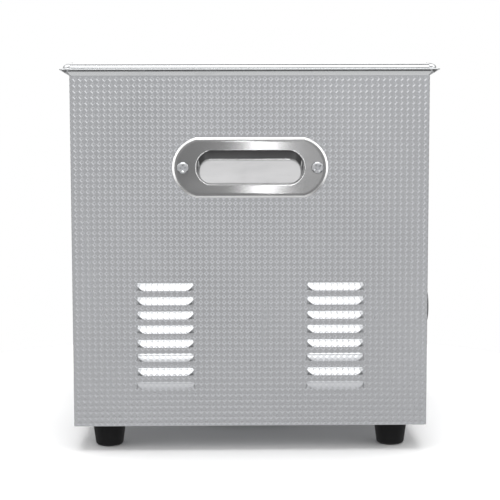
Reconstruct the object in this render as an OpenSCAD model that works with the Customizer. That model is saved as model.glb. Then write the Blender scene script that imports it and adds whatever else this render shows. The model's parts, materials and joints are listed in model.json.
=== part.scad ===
// Bench ultrasonic cleaner for jewellery and small parts: a drawn steel tank in an embossed
// sheet housing, with bonded transducers, heater pads, a generator board and a drain valve.
// X runs along the length, -Y is the control side, +X is the drain side, Z is up.
// The feet stand on Z = 0 and the housing is centred on X = 0, Y = 0.

/* [Overall] */
// Length over the tank rim
rim_length = 330; // [270:1:560]
// Width over the tank rim
rim_width = 270; // [225:1:400]
// Height of the rim above the bench
overall_height = 280; // [230:1:360]
// Height of the tank floor above the bench
floor_height = 130; // [125:1:160]

/* [Tank] */
// Rim overhang past the housing on each side
lip_overhang = 7; // [5:0.5:12]
// Rim depth from the top down to the housing wall
lip_depth = 9; // [8:0.5:14]
// Width of the flat deck at each end of the tank
deck_end = 22; // [20:0.5:40]
// Width of the flat deck along the front and the back
deck_side = 15; // [13:0.5:30]
// Plan radius of the tank corners
tank_corner = 28; // [20:1:40]
// Radius between the tank wall and the tank floor
tank_foot_radius = 15; // [8:1:18]
// Radius where the tank wall turns out into the deck
mouth_radius = 4; // [3:0.5:5]
// Thickness of the tank sheet
tank_wall = 1; // [0.8:0.1:1.2]

/* [Housing] */
// Thickness of the housing sheet
sheet = 1; // [0.8:0.1:1.5]
// Thickness of the base plate
base_thick = 1.2; // [1:0.1:2]
// Outside radius of the housing's upright bends
bend_radius = 2; // [2:0.5:4]
// Distance from the housing corner to the panel seam
seam_inset = 12; // [8:1:20]

/* [Feet] */
// Height of each foot
foot_height = 18.5; // [14:0.5:30]
// Diameter of each foot at the top
foot_top_d = 24.5; // [20:0.5:32]
// Diameter of each foot at the bottom
foot_bottom_d = 20.5; // [16:0.5:28]
// Distance from the housing's ends to the foot centres
foot_inset = 24; // [18:0.5:40]
// Radius of the foot's lower edge
foot_edge = 2.5; // [1:0.25:3]
// Depth of the screw well in the foot
foot_well = 8; // [6:0.5:10]
// Diameter of the screw well
foot_well_d = 11.2; // [10:0.1:12]

/* [Handles] */
// Width of the handle flange
handle_width = 111; // [100:1:130]
// Height of the handle flange
handle_height = 43; // [43:1:50]
// Thickness of the handle flange
handle_thick = 2; // [1.5:0.1:3]
// Width of the finger opening
grip_width = 75.6; // [70:0.2:85]
// Height of the finger opening
grip_height = 23.4; // [20:0.2:24]
// Depth of the finger pocket behind the housing wall
grip_depth = 10; // [8:0.5:11]
// How far the middle of the pocket is above the middle of the opening
pocket_rise = 3.5; // [2:0.1:4]
// Wall thickness of the finger pocket
pocket_wall = 1; // [0.8:0.1:1.2]
// Distance from the rim top down to the handle centre
handle_drop = 74.2; // [60:0.2:90]
// Distance between the two handle screws
handle_screw_gap = 95.8; // [90:0.2:105]

/* [Louvres] */
// Length of one louvre
louvre_length = 42.4; // [30:0.2:60]
// Height of one louvre
louvre_height = 5.6; // [4.5:0.1:8]
// Distance between louvre rows
louvre_pitch = 10.3; // [8:0.1:14]
// Rows in each column
louvre_rows = 8; // [4:1:8]
// Height of the lowest louvre above the bench
louvre_low = 48.2; // [44:0.1:60]
// How far a louvre's lower edge stands out
louvre_out = 2.4; // [1.5:0.1:3.5]
// Distance between the middles of the two louvre columns
louvre_gap = 122.4; // [110:0.2:130]
// Wall left at each end of a louvre
louvre_wall = 0.9; // [0.8:0.1:1.2]
// Height of the strip that a louvre hangs from
louvre_root = 1.9; // [1.5:0.1:2.5]

/* [Transducers] */
// Face diameter of a transducer's front mass
horn_d = 59; // [45:1:68]
// Height of the front mass
horn_height = 24; // [20:1:30]
// Outside diameter of the ceramic rings
piezo_d = 38; // [30:1:45]
// Thickness of one ceramic ring
piezo_thick = 5; // [4:0.5:6.5]

/* [Generator] */
// Length of the generator board
board_l = 170; // [150:1:176]
// Width of the generator board
board_w = 96; // [90:1:100]
// Thickness of the generator board
board_thick = 1.6; // [1.2:0.2:2]
// Height of the standoffs under the board
standoff_height = 8; // [6:0.5:9]

/* [Fan] */
// Side of the square fan frame
fan_size = 60; // [60:1:62]
// Depth of the fan
fan_depth = 15; // [15:1:20]
// Bore of the fan frame
fan_bore = 56; // [54:0.5:56]
// Distance between the fan's screw holes
fan_hole_gap = 50; // [50:0.5:51]

/* [Controls] */
// Diameter of the timer and heat knobs
knob_d = 36; // [28:1:42]
// Height of the knobs
knob_height = 18; // [14:1:24]
// Distance between the two knobs
knob_gap = 76; // [72:1:82]
// Distance from the middle of the housing to the middle of the control plate
control_shift = 60; // [50:1:64]
// Height of the control plate
plate_height = 78; // [66:1:84]
// Thickness of the control plate
plate_thick = 1.2; // [1:0.1:1.6]
// Distance between the two indicator lamps
lamp_gap = 28; // [24:1:34]
// Height of the knob axes above the bench
knob_z = 80; // [70:1:84]

/* [Drain] */
// Height of the drain valve above the bench
valve_z = 94; // [88:1:98]
// Offset of the drain valve towards the control side
valve_offset = 0; // [-12:1:12]
// Outside diameter of the hose spout
spout_d = 13; // [10:0.5:16]
// Bore through the valve
valve_bore = 9; // [6:0.5:9.5]
// Outside diameter of the drain hose
hose_d = 17; // [16:0.5:19]
// Inside diameter of the drain hose
hose_bore = 13; // [13:0.5:14]
// Reach of the drain lever from its axis
lever_length = 56; // [45:1:70]

/* [Hidden] */
$fn = 64;
body_l = rim_length - 2 * lip_overhang;
body_w = rim_width - 2 * lip_overhang;
tank_l = rim_length - 2 * deck_end;
tank_w = rim_width - 2 * deck_side;
tank_depth = overall_height - floor_height;
floor_under = floor_height - tank_wall;
panel_top = overall_height - tank_wall;
skirt_low = foot_height;
inside_floor = foot_height + base_thick;
handle_z = overall_height - handle_drop;
foot_x = body_l / 2 - foot_inset;
foot_y = body_w / 2 - foot_inset;
horn_x = tank_l / 4;
horn_y = tank_w / 4;
horn_low = floor_under - horn_height;
electrode_thick = 0.5;
piezo_step = piezo_thick + electrode_thick;
piezo_low = horn_low - 2 * piezo_step - electrode_thick;
back_mass_height = 18;
back_low = piezo_low - back_mass_height;
stud_d = 10;
drain_x = tank_l / 2 - 30;
drain_y = -valve_offset;
ball_x = body_l / 2 + 22;
front_y = -body_w / 2;
rear_y = body_w / 2;
timer_x = control_shift + knob_gap / 2;
heat_x = control_shift - knob_gap / 2;
knob_low = plate_thick + 3.4;
unit_deep = 26;
board_x = -25;
board_y = 2;
board_z = inside_floor + standoff_height;
board_top = board_z + board_thick;
lead_space = 18;
sink_height = back_low - board_top - lead_space;
fan_x = -75;
fan_z = 72;
fan_pin_d = 3;
inlet_x = 82;
inlet_z = 62;
inlet_face = [50, 36, 2.5];
inlet_body = [28, 32, 24];
socket_size = [24, 16.5, 15];
socket_low = -2;
mains_pins = [[-7, 4.2], [7, 4.2], [0, 8.2]];
pin_size = [1.9, 3.9, 28];
pin_slack = 0.1;
drawer_size = [22, 7, 18];
drawer_low = -13;
switch_x = 32;
switch_z = 62;
rocker_tilt = 11;
rocker_pin_d = 2;
ledge_deep = 13;
ledge_high = 9;
handle_end_r = 22.15;
pocket_w = grip_width + 2 * pocket_wall;
pocket_h = grip_height + 7;
pocket_gap = 0.9;
seam_gap = 0.2;
tab_width = 11;
joggle = 1.2;
m3_hole = 3.4;
m4_hole = 4.4;
m3_head = [5.6, 2];
m4_nut = [7, 3.2];
bore_gap = 0.1;
shaft_d = 6;
shaft_gap = 0.08;
shaft_flat = 1.6;
bush_d = 10;
bush_hole = 10.4;
lamp_d = 8;
lamp_hole = 8.4;
drain_hole_d = 20;
strainer_d = 19.4;
tail_d = hose_bore - 0.2;
hose_bend = 15;
valve_chamber_d = 18.4;
valve_stem_d = 6;
lever_z = 17.6;
lever_thick = 2.4;
bulkhead_d = 20;

// ---- shared shapes ----

// rounded rectangle, drawn about its centre
module rrect(l, w, r) {
    square([l - 2 * r, w], center = true);
    square([l, w - 2 * r], center = true);
    for (x = [-1, 1], y = [-1, 1]) {
        translate([x * (l / 2 - r), y * (w / 2 - r)]) circle(r);
    }
}

// runs a profile round a rounded rectangle: profile x points outwards from the line, y points up
module ring(l, w, r) {
    for (q = [0, 180]) {
        rotate(q) translate([-(l / 2 - r), w / 2, 0]) rotate([90, 0, 90]) linear_extrude(l - 2 * r) children();
        rotate(q - 90) translate([-(w / 2 - r), l / 2, 0]) rotate([90, 0, 90]) linear_extrude(w - 2 * r) children();
        rotate(q) translate([l / 2 - r, w / 2 - r, 0]) rotate_extrude(angle = 90) translate([r, 0]) children();
        rotate(q) translate([-(l / 2 - r), w / 2 - r, 0]) rotate(90) rotate_extrude(angle = 90) translate([r, 0]) children();
    }
}

// local x runs along the face, y is up, z points out of the housing
module on_right() {
    translate([body_l / 2, 0, 0]) rotate([90, 0, 90]) children();
}

module on_left() {
    mirror([1, 0, 0]) on_right() children();
}

module on_front() {
    translate([0, front_y, 0]) rotate([90, 0, 0]) children();
}

module on_rear() {
    translate([0, rear_y, 0]) rotate([90, 0, 180]) children();
}

// slot outline with ends of a larger radius, as the handle has
module handle_outline(w, h, r) {
    intersection() {
        square([w, h], center = true);
        union() {
            square([w - 2 * r, 2 * r], center = true);
            for (x = [-1, 1]) {
                translate([x * (w / 2 - r), 0]) circle(r);
            }
        }
    }
}

module hex(across, h) {
    cylinder(d = across / cos(30), h = h, $fn = 6);
}

// hexagon nut on a thread of diameter d
module nut(size, d) {
    difference() {
        hex(size[0], size[1]);
        translate([0, 0, -1]) cylinder(d = d + bore_gap, h = size[1] + 2);
    }
}

// pan head screw: head under z = 0, shank upwards
module pan_screw(d, head_d, head_h, len) {
    cylinder(d = d, h = len);
    difference() {
        union() {
            translate([0, 0, -head_h * 0.55]) cylinder(d = head_d, h = head_h * 0.55);
            translate([0, 0, -head_h]) cylinder(d1 = head_d * 0.62, d2 = head_d, h = head_h * 0.45);
        }
        translate([-head_d * 0.28, -head_d * 0.05, -head_h - 0.1]) cube([head_d * 0.56, head_d * 0.1, head_h * 0.5]);
        translate([-head_d * 0.05, -head_d * 0.28, -head_h - 0.1]) cube([head_d * 0.1, head_d * 0.56, head_h * 0.5]);
    }
}

// smooth curve through the points of p, n steps between two of them
function curve_at(a, b, c, d, t) =
    0.5 * ((2 * b) + (c - a) * t + (2 * a - 5 * b + 4 * c - d) * t * t + (3 * b - a - 3 * c + d) * t * t * t);
function curve(p, n) = concat(
    [for (i = [0:len(p) - 2], k = [0:n - 1])
        curve_at(p[max(i - 1, 0)], p[i], p[i + 1], p[min(i + 2, len(p) - 1)], k / n)],
    [p[len(p) - 1]]
);
function unit(v) = v / norm(v);
function heading(q, i) = unit(q[min(i + 1, len(q) - 1)] - q[max(i - 1, 0)]);
function ring_at(q, i, r, sides, side_ref) =
    let (
        t = heading(q, i),
        u = unit(cross(t, side_ref)),
        v = cross(t, u)
    )
    [for (k = [0:sides - 1]) q[i] + r * (cos(360 * k / sides) * u + sin(360 * k / sides) * v)];

// round lead along a curve, closed at both ends
module lead(p, d, side_ref = [0.31, 0.47, 0.83], sides = 8, steps = 5) {
    q = curve(p, steps);
    last = len(q) - 1;
    polyhedron(
        points = [for (i = [0:last]) each ring_at(q, i, d / 2, sides, side_ref)],
        faces = concat(
            [[for (k = [0:sides - 1]) k]],
            [for (i = [0:last - 1], k = [0:sides - 1])
                [i * sides + k, (i + 1) * sides + k, (i + 1) * sides + (k + 1) % sides, i * sides + (k + 1) % sides]],
            [[for (k = [sides - 1:-1:0]) last * sides + k]]
        ),
        convexity = 4
    );
}

// ---- tank ----

// section of the mouth, the wall and the foot radius, from the deck down to the floor
module wall_profile() {
    d = tank_depth;
    f = tank_foot_radius;
    t = tank_wall;
    m = mouth_radius;
    polygon(concat(
        [[m + 2, 0]],
        [for (a = [90:15:180]) [m + m * cos(a), -m + m * sin(a)]],
        [for (a = [0:15:90]) [-f + f * cos(a), f - d - f * sin(a)]],
        [[-f - 2, -d], [-f - 2, -d - t]],
        [for (a = [90:-15:0]) [-f + (f + t) * cos(a), f - d - (f + t) * sin(a)]],
        [for (a = [180:-15:90]) [m + (m - t) * cos(a), -m + (m - t) * sin(a)]],
        [[m + 2, -t]]
    ));
}

// section of the rounded shoulder, the rolled lip and the return that meets the housing
module lip_profile() {
    t = tank_wall;
    o = lip_overhang;
    s = 3.5;
    polygon(concat(
        [[-1.5, 0]],
        [for (a = [90:-15:0]) [0.7 + s * cos(a), -s + s * sin(a)]],
        [[4.2, -3.9], [o - 0.25, -4.4], [o, -4.7], [o - 0.2, -5]],
        [[0.15, -lip_depth], [0.15, 1 - lip_depth], [3.6, -5.5], [3.2, -4.4]],
        [for (a = [0:15:90]) [0.7 + (s - t) * cos(a), -s + (s - t) * sin(a)]],
        [[-1.5, -t]]
    ));
}

module tank() {
    color("silver") difference() {
        union() {
            translate([0, 0, overall_height]) ring(tank_l, tank_w, tank_corner) wall_profile();
            translate([0, 0, overall_height]) ring(body_l, body_w, bend_radius) lip_profile();
            translate([0, 0, overall_height - tank_wall]) linear_extrude(tank_wall) difference() {
                rrect(body_l, body_w, bend_radius);
                rrect(tank_l + 2 * mouth_radius + 2, tank_w + 2 * mouth_radius + 2, tank_corner + mouth_radius + 1);
            }
            translate([0, 0, floor_under]) linear_extrude(tank_wall)
                rrect(tank_l - 2 * tank_foot_radius, tank_w - 2 * tank_foot_radius, tank_corner - tank_foot_radius);
        }
        translate([drain_x, drain_y, floor_under - 1]) cylinder(d = drain_hole_d, h = tank_wall + 2);
    }
}

// ---- housing ----

// plan of one end panel: face, two upright bends and the set-back seam tabs
module end_plan() {
    x = body_l / 2;
    y = body_w / 2;
    r = bend_radius;
    t = sheet;
    translate([x - t, -(y - r)]) square([t, 2 * (y - r)]);
    for (s = [-1, 1]) {
        scale([1, s]) {
            translate([x - r, y - r]) intersection() {
                difference() {
                    circle(r);
                    circle(r - t);
                }
                square([r + 1, r + 1]);
            }
            translate([x - seam_inset, y - t]) square([seam_inset - r, t]);
            translate([x - seam_inset, y - 2 * t]) square([joggle, 2 * t]);
            translate([x - seam_inset - tab_width, y - 2 * t]) square([tab_width + joggle, t]);
        }
    }
}

// pressed hood, closed at the top and the ends and open along its lower edge
module louvre_hood() {
    h = louvre_height / 2;
    o = louvre_out;
    l = louvre_length / 2;
    w = louvre_wall;
    rotate([90, 0, 90]) difference() {
        translate([0, 0, -l]) linear_extrude(2 * l) polygon([[h, 0], [-h, o], [-h, -0.4], [h, -0.4]]);
        translate([0, 0, w - l]) linear_extrude(2 * (l - w))
            polygon([[h - louvre_root, -0.5], [h - louvre_root, 0.1], [-h - 1, o - 0.55], [-h - 1, -0.5]]);
    }
}

module louvre_places() {
    for (c = [-1, 1], k = [0:louvre_rows - 1]) {
        translate([c * louvre_gap / 2, louvre_low + k * louvre_pitch, 0]) children();
    }
}

// cylinder through the sheet of a face, for a hole of diameter d
module sheet_hole(d, thick = sheet) {
    translate([0, 0, -sheet - 1]) cylinder(d = d, h = thick + 2);
}

// hole for the handle's pocket, and its two screw holes
module handle_cut() {
    translate([0, handle_z + pocket_rise, -sheet - 1]) linear_extrude(sheet + 2)
        rrect(pocket_w + 2 * pocket_wall + 2 * pocket_gap, pocket_h + 2 * pocket_wall + 2 * pocket_gap, 6);
    for (x = [-1, 1]) {
        translate([x * handle_screw_gap / 2, handle_z, 0]) sheet_hole(m4_hole);
    }
}

// inner angle that the base plate screws up into, welded to the panel
module ledge(l) {
    translate([-l / 2, inside_floor, -sheet - ledge_deep]) cube([l, sheet, ledge_deep]);
    translate([-l / 2, inside_floor, -sheet - 1]) cube([l, ledge_high, 1]);
}

module side_panel() {
    difference() {
        union() {
            translate([0, 0, skirt_low]) linear_extrude(panel_top - skirt_low) end_plan();
            on_right() ledge(body_w - 60);
        }
        // the seam tabs stop above the base plate
        translate([0, 0, skirt_low - 1]) linear_extrude(inside_floor + 12 - skirt_low) for (s = [-1, 1]) {
            translate([body_l / 2 - seam_inset - 12, s * (body_w / 2 - 1.5 * sheet) - sheet])
                square([12 + seam_inset - bend_radius, 2 * sheet - (s > 0 ? sheet / 2 : 0)]);
        }
        on_right() handle_cut();
        on_right() louvre_places() translate([louvre_wall - louvre_length / 2, -louvre_height / 2, -sheet - 1])
            cube([louvre_length - 2 * louvre_wall, louvre_height - louvre_root, sheet + 2]);
        on_right() ledge_holes(body_w * 0.25);
    }
    on_right() louvre_places() louvre_hood();
}

module left_side_panel() {
    color("lightgray") mirror([1, 0, 0]) side_panel();
}

module right_side_panel() {
    color("lightgray") difference() {
        side_panel();
        translate([body_l / 2 - 5, drain_y, valve_z]) rotate([0, 90, 0]) cylinder(d = bulkhead_d + 1, h = 10);
    }
}

// flat panel between the seams, outer face at z = 0
module flat_panel() {
    l = body_l - 2 * seam_inset - 2 * seam_gap;
    translate([-l / 2, skirt_low, -sheet]) cube([l, panel_top - skirt_low, sheet]);
    ledge(l - 40);
}

// base screw holes up through a ledge, the given distance each side of its middle
module ledge_holes(reach) {
    for (x = [-1, 1]) {
        translate([x * reach, inside_floor - 1, -8]) rotate([-90, 0, 0]) cylinder(d = m3_hole, h = sheet + 2);
    }
}

// places of the two control shafts, and of the two lamps between them
module knob_places() {
    for (x = [timer_x, heat_x]) {
        translate([x, knob_z, 0]) children();
    }
}

module lamp_places() {
    for (y = [-1, 1]) {
        translate([control_shift, knob_z + y * lamp_gap / 2, 0]) children();
    }
}

module fan_screw_places() {
    for (x = [-1, 1], y = [-1, 1]) {
        translate([-fan_x + x * fan_hole_gap / 2, fan_z + y * fan_hole_gap / 2, 0]) children();
    }
}

module inlet_screw_places() {
    for (x = [-1, 1]) {
        translate([20 * x - inlet_x, inlet_z, 0]) children();
    }
}

module front_panel() {
    color("lightgray") on_front() difference() {
        flat_panel();
        ledge_holes(body_l * 0.22);
        knob_places() sheet_hole(bush_hole);
        lamp_places() sheet_hole(lamp_hole);
    }
}

module rear_panel() {
    color("lightgray") on_rear() difference() {
        flat_panel();
        ledge_holes(body_l * 0.22);
        translate([-fan_x, fan_z, 0]) sheet_hole(fan_bore);
        fan_screw_places() sheet_hole(m3_hole);
        translate([-inlet_x - inlet_body[0] / 2 - 0.2, inlet_z - inlet_body[1] / 2 - 0.2, -sheet - 1])
            cube([inlet_body[0] + 0.4, inlet_body[1] + 0.4, sheet + 2]);
        inlet_screw_places() sheet_hole(m3_hole);
        translate([-switch_x - 6.7, switch_z - 9.7, -sheet - 1]) cube([13.4, 19.4, sheet + 2]);
    }
}

module base_screw_places() {
    for (x = [-1, 1], y = [-1, 1]) {
        translate([x * (body_l / 2 - 8), y * body_w * 0.25, 0]) children();
        translate([x * body_l * 0.22, y * (body_w / 2 - 8), 0]) children();
    }
}

module standoff_places() {
    for (x = [-1, 1], y = [-1, 1]) {
        translate([board_x + x * (board_l / 2 - 6), board_y + y * (board_w / 2 - 6), 0]) children();
    }
}

module foot_places() {
    for (x = [-1, 1], y = [-1, 1]) {
        translate([x * foot_x, y * foot_y, 0]) children();
    }
}

module base_plate() {
    color("gray") translate([0, 0, foot_height]) difference() {
        linear_extrude(base_thick) rrect(body_l - 2 * sheet - 0.6, body_w - 2 * sheet - 0.6, 1.2);
        translate([0, 0, -1]) base_screw_places() cylinder(d = m3_hole, h = base_thick + 2);
        translate([0, 0, -1]) foot_places() cylinder(d = m4_hole, h = base_thick + 2);
        translate([0, 0, -1]) standoff_places() cylinder(d = m3_hole, h = base_thick + 2);
        for (x = [-1, 1], k = [-3:3]) {
            translate([x * body_l * 0.19 - 25, k * 9 - 2, -1]) cube([50, 4, base_thick + 2]);
        }
    }
}

// ---- handles ----

module handle() {
    on_right() difference() {
        union() {
            translate([0, handle_z, 0]) linear_extrude(handle_thick)
                handle_outline(handle_width, handle_height, handle_end_r);
            translate([0, handle_z + pocket_rise, -grip_depth - pocket_wall]) linear_extrude(grip_depth + pocket_wall)
                rrect(pocket_w + 2 * pocket_wall, pocket_h + 2 * pocket_wall, 4 + pocket_wall);
        }
        translate([0, handle_z, -grip_depth]) linear_extrude(grip_depth + handle_thick + 1)
            handle_outline(grip_width, grip_height, 12);
        translate([0, handle_z + pocket_rise, -grip_depth]) linear_extrude(grip_depth - 0.01)
            rrect(pocket_w, pocket_h, 4);
        for (x = [-1, 1]) {
            translate([x * handle_screw_gap / 2, handle_z, 0]) sheet_hole(m4_hole, handle_thick + sheet);
        }
    }
}

module right_handle() {
    color("silver") handle();
}

module left_handle() {
    color("silver") mirror([1, 0, 0]) handle();
}

module handle_screw_places() {
    for (x = [-1, 1]) {
        on_right() translate([x * handle_screw_gap / 2, handle_z, handle_thick]) children();
        on_left() translate([x * handle_screw_gap / 2, handle_z, handle_thick]) children();
    }
}

module handle_screws() {
    color("silver") handle_screw_places() rotate([180, 0, 0]) pan_screw(4, 8.2, 2.4, handle_thick + sheet + 6);
}

module handle_nuts() {
    color("silver") handle_screw_places() translate([0, 0, -handle_thick - sheet - m4_nut[1]]) nut(m4_nut, 4);
}

// ---- feet and base fixings ----

module rubber_feet() {
    top = foot_top_d / 2;
    low = foot_bottom_d / 2;
    e = foot_edge;
    color("dimgray") foot_places() rotate_extrude() polygon(concat(
        [[foot_well_d / 2, 0], [low - e, 0]],
        [for (a = [-75:15:0]) [low - e + e * cos(a), e + e * sin(a)]],
        [[top, foot_height - 1], [top - 0.4, foot_height], [m4_hole / 2, foot_height]],
        [[m4_hole / 2, foot_well], [foot_well_d / 2, foot_well]]
    ));
}

module foot_screws() {
    color("silver") foot_places() translate([0, 0, foot_well])
        pan_screw(4, 9, 3, inside_floor - foot_well + m4_nut[1] + 1.8);
}

module foot_nuts() {
    color("silver") foot_places() translate([0, 0, inside_floor]) nut(m4_nut, 4);
}

module base_screws() {
    color("silver") base_screw_places() translate([0, 0, foot_height]) pan_screw(3, m3_head[0], 1.6, 8);
}

// ---- transducers under the tank floor ----

module horn_places() {
    for (x = [-1, 1], y = [-1, 1]) {
        translate([x * horn_x, y * horn_y, 0]) children();
    }
}

module transducer_horns() {
    color("gainsboro") horn_places() difference() {
        union() {
            translate([0, 0, horn_low + 6]) cylinder(d1 = piezo_d + 1, d2 = horn_d, h = horn_height - 10);
            translate([0, 0, floor_under - 4]) cylinder(d = horn_d, h = 4);
            translate([0, 0, horn_low]) cylinder(d = piezo_d + 1, h = 6);
        }
        translate([0, 0, horn_low - 1]) cylinder(d = stud_d + 0.2, h = 17);
    }
}

module piezo_rings() {
    color("ivory") horn_places() for (k = [0, 1]) {
        translate([0, 0, piezo_low + electrode_thick + k * piezo_step]) difference() {
            cylinder(d = piezo_d, h = piezo_thick);
            translate([0, 0, -1]) cylinder(d = stud_d + 3, h = piezo_thick + 2);
        }
    }
}

// thin plates between the rings, each with a solder tail
module electrode_tabs() {
    color("orange") horn_places() for (k = [0, 1, 2]) {
        translate([0, 0, piezo_low + k * piezo_step]) difference() {
            union() {
                cylinder(d = piezo_d - 1, h = electrode_thick);
                rotate(k == 1 ? 20 : -20) translate([0, -2.5, 0]) cube([piezo_d / 2 + 9, 5, electrode_thick]);
            }
            translate([0, 0, -1]) cylinder(d = stud_d + 3, h = 3);
        }
    }
}

module back_masses() {
    color("slategray") horn_places() difference() {
        union() {
            translate([0, 0, back_low + 3]) cylinder(d = piezo_d + 4, h = piezo_low - back_low - 3);
            translate([0, 0, back_low]) cylinder(d1 = piezo_d, d2 = piezo_d + 4, h = 3);
        }
        translate([0, 0, back_low - 1]) cylinder(d = stud_d + 0.4, h = back_mass_height + 2);
    }
}

module transducer_bolts() {
    color("slategray") horn_places() difference() {
        union() {
            translate([0, 0, back_low - 7]) cylinder(d = 16, h = 7);
            translate([0, 0, back_low]) cylinder(d = stud_d, h = horn_low - back_low + 14);
        }
        translate([0, 0, back_low - 8]) hex(8, 5);
    }
}

// ---- heating ----

module heater_pads() {
    h = min(70, tank_depth - tank_foot_radius - 25);
    color("orangered") for (s = [-1, 1]) {
        translate([-tank_l * 0.35, s * (tank_w / 2 + tank_wall + 1.2) - 1.2, floor_height + tank_foot_radius])
            cube([tank_l * 0.7, 2.4, h]);
    }
}

module thermal_cutout() {
    color("wheat") translate([0, horn_y * 0.55, 0]) {
        translate([0, 0, floor_under - 5]) cylinder(d = 16, h = 5);
        translate([0, 0, floor_under - 9]) cylinder(d = 13, h = 4);
        for (x = [-1, 1]) {
            translate([x * 3.5 - 0.4, -3, floor_under - 16]) cube([0.8, 6, 7.5]);
        }
    }
}

module thermostat_bulb() {
    color("peru") translate([0, -horn_y * 0.2, floor_under - 3.2]) {
        rotate([0, 90, 0]) cylinder(d = 6, h = 64, center = true);
        translate([-12, -7, 2.2]) cube([24, 14, 1]);
        translate([-12, -3.9, -3.9]) difference() {
            cube([24, 7.8, 6.4]);
            translate([-1, 0.8, 0.8]) cube([26, 6.2, 6.4]);
        }
    }
}

// runs from the bulb down between the transducers to the back of the thermostat
module capillary_tube() {
    y = -horn_y * 0.2;
    z = floor_under - 3.2;
    color("peru") lead([
        [32.4, y, z], [38, y - 2, z - 6], [35, y - 14, z - 22], [heat_x + 8, y - 46, knob_z + 18],
        [heat_x + 2, front_y + 42, knob_z + 16], [heat_x, front_y + 33, knob_z + 10], [heat_x, front_y + 28.4, knob_z + 5]
    ], 1.8, [0.9, 0.2, 0.1]);
}

// ---- generator ----

module generator_board() {
    color("darkgreen") difference() {
        translate([board_x - board_l / 2, board_y - board_w / 2, board_z]) cube([board_l, board_w, board_thick]);
        translate([0, 0, board_z - 1]) standoff_places() cylinder(d = m3_hole, h = board_thick + 2);
    }
}

module heat_sink() {
    color("gainsboro") translate([board_x - 50, board_y + board_w / 2 - 32, board_top]) {
        cube([100, 3.4, sink_height]);
        for (k = [0:9]) {
            translate([k * 10.7, 3, 0]) cube([1.8, 14, sink_height]);
        }
    }
}

module power_transistors() {
    color("dimgray") for (x = [-36, -12, 12, 36]) {
        translate([board_x + x - 8, board_y + board_w / 2 - 37, board_top + 7]) {
            cube([16, 5, sink_height - 10]);
            for (k = [-1, 0, 1]) {
                translate([8 + k * 5.4 - 0.6, 2, -7]) cube([1.2, 0.8, 7.5]);
            }
        }
    }
}

module board_transformer() {
    color("saddlebrown") translate([board_x - 40, board_y - 18, board_top]) {
        translate([-18, -16, 0]) cube([36, 32, 4]);
        translate([0, 0, 4]) cylinder(d = 27, h = 18);
        translate([-18, -9, 22]) cube([36, 18, 5]);
        for (x = [-1, 1]) {
            translate([x * 16 - 2, -9, 3.5]) cube([4, 18, 19]);
        }
    }
}

module board_inductors() {
    color("goldenrod") for (x = [4, 34]) {
        translate([board_x + x, board_y - 22, board_top + 12.5]) rotate([90, 0, 0])
            rotate_extrude() translate([8, 0]) circle(4.4);
    }
}

module board_capacitors() {
    color("midnightblue") {
        for (x = [52, 71]) {
            translate([board_x + x, board_y + 4, board_top]) cylinder(d = 17, h = 27);
        }
        for (x = [-76, -66]) {
            translate([board_x + x, board_y + 20, board_top]) cylinder(d = 8, h = 13);
        }
        translate([board_x + 6, board_y - 4, board_top]) cube([18, 9, 15]);
    }
}

module board_terminals() {
    color("forestgreen") {
        translate([board_x - board_l / 2 + 2, board_y - 14, board_top]) cube([9, 22, 11]);
        translate([board_x + board_l / 2 - 12, board_y - 34, board_top]) cube([9, 24, 11]);
        translate([board_x + 12, board_y - board_w / 2 + 1.5, board_top]) cube([30, 9, 9]);
    }
}

module board_standoffs() {
    color("goldenrod") standoff_places() translate([0, 0, inside_floor]) difference() {
        hex(6, standoff_height);
        translate([0, 0, -1]) cylinder(d = 3 + bore_gap, h = standoff_height + 2);
    }
}

// board screws from above and below, and those of the fan and the power inlet
module m3_screws() {
    color("silver") {
        standoff_places() translate([0, 0, board_top]) rotate([180, 0, 0])
            pan_screw(3, m3_head[0], m3_head[1], board_thick + 2.9);
        standoff_places() translate([0, 0, foot_height]) pan_screw(3, m3_head[0], m3_head[1], base_thick + 3.3);
        on_rear() fan_screw_places() translate([0, 0, 2]) rotate([180, 0, 0])
            pan_screw(3, m3_head[0], m3_head[1], sheet + fan_depth + 4);
        on_rear() inlet_screw_places() translate([0, 0, 2.5]) rotate([180, 0, 0])
            pan_screw(3, m3_head[0], m3_head[1], sheet + 8);
    }
}

// ---- fan ----

module fan_frame() {
    color("dimgray") on_rear() difference() {
        translate([-fan_x, fan_z, -sheet - fan_depth]) {
            difference() {
                linear_extrude(fan_depth) rrect(fan_size, fan_size, 4);
                translate([0, 0, -1]) cylinder(d = fan_bore, h = fan_depth + 2);
            }
            cylinder(d = 24, h = 2);
            for (a = [45, 165, 285]) {
                rotate(a) translate([10, -2, 0]) cube([fan_bore / 2 - 9, 4, 2]);
            }
            difference() {
                cylinder(d = 5, h = 9);
                translate([0, 0, 3]) cylinder(d = fan_pin_d + bore_gap, h = 8);
            }
        }
        fan_screw_places() translate([0, 0, -fan_depth]) sheet_hole(m3_hole, fan_depth);
    }
}

module fan_rotor() {
    color("black") on_rear() translate([-fan_x, fan_z, -sheet - fan_depth]) {
        difference() {
            translate([0, 0, 3]) cylinder(d = 25, h = 10);
            translate([0, 0, 2]) cylinder(d = 22, h = 9.2);
        }
        translate([0, 0, 4]) cylinder(d = fan_pin_d, h = 8);
        intersection() {
            for (a = [0:360 / 7:350]) {
                rotate(a) translate([11.8, 0, 8]) rotate([38, 0, 0]) translate([0, -7, -0.5]) cube([17, 14, 1]);
            }
            translate([0, 0, 3.2]) difference() {
                cylinder(d = fan_bore - 2.4, h = 9.8);
                translate([0, 0, -1]) cylinder(d = 24, h = 12);
            }
        }
    }
}

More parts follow.
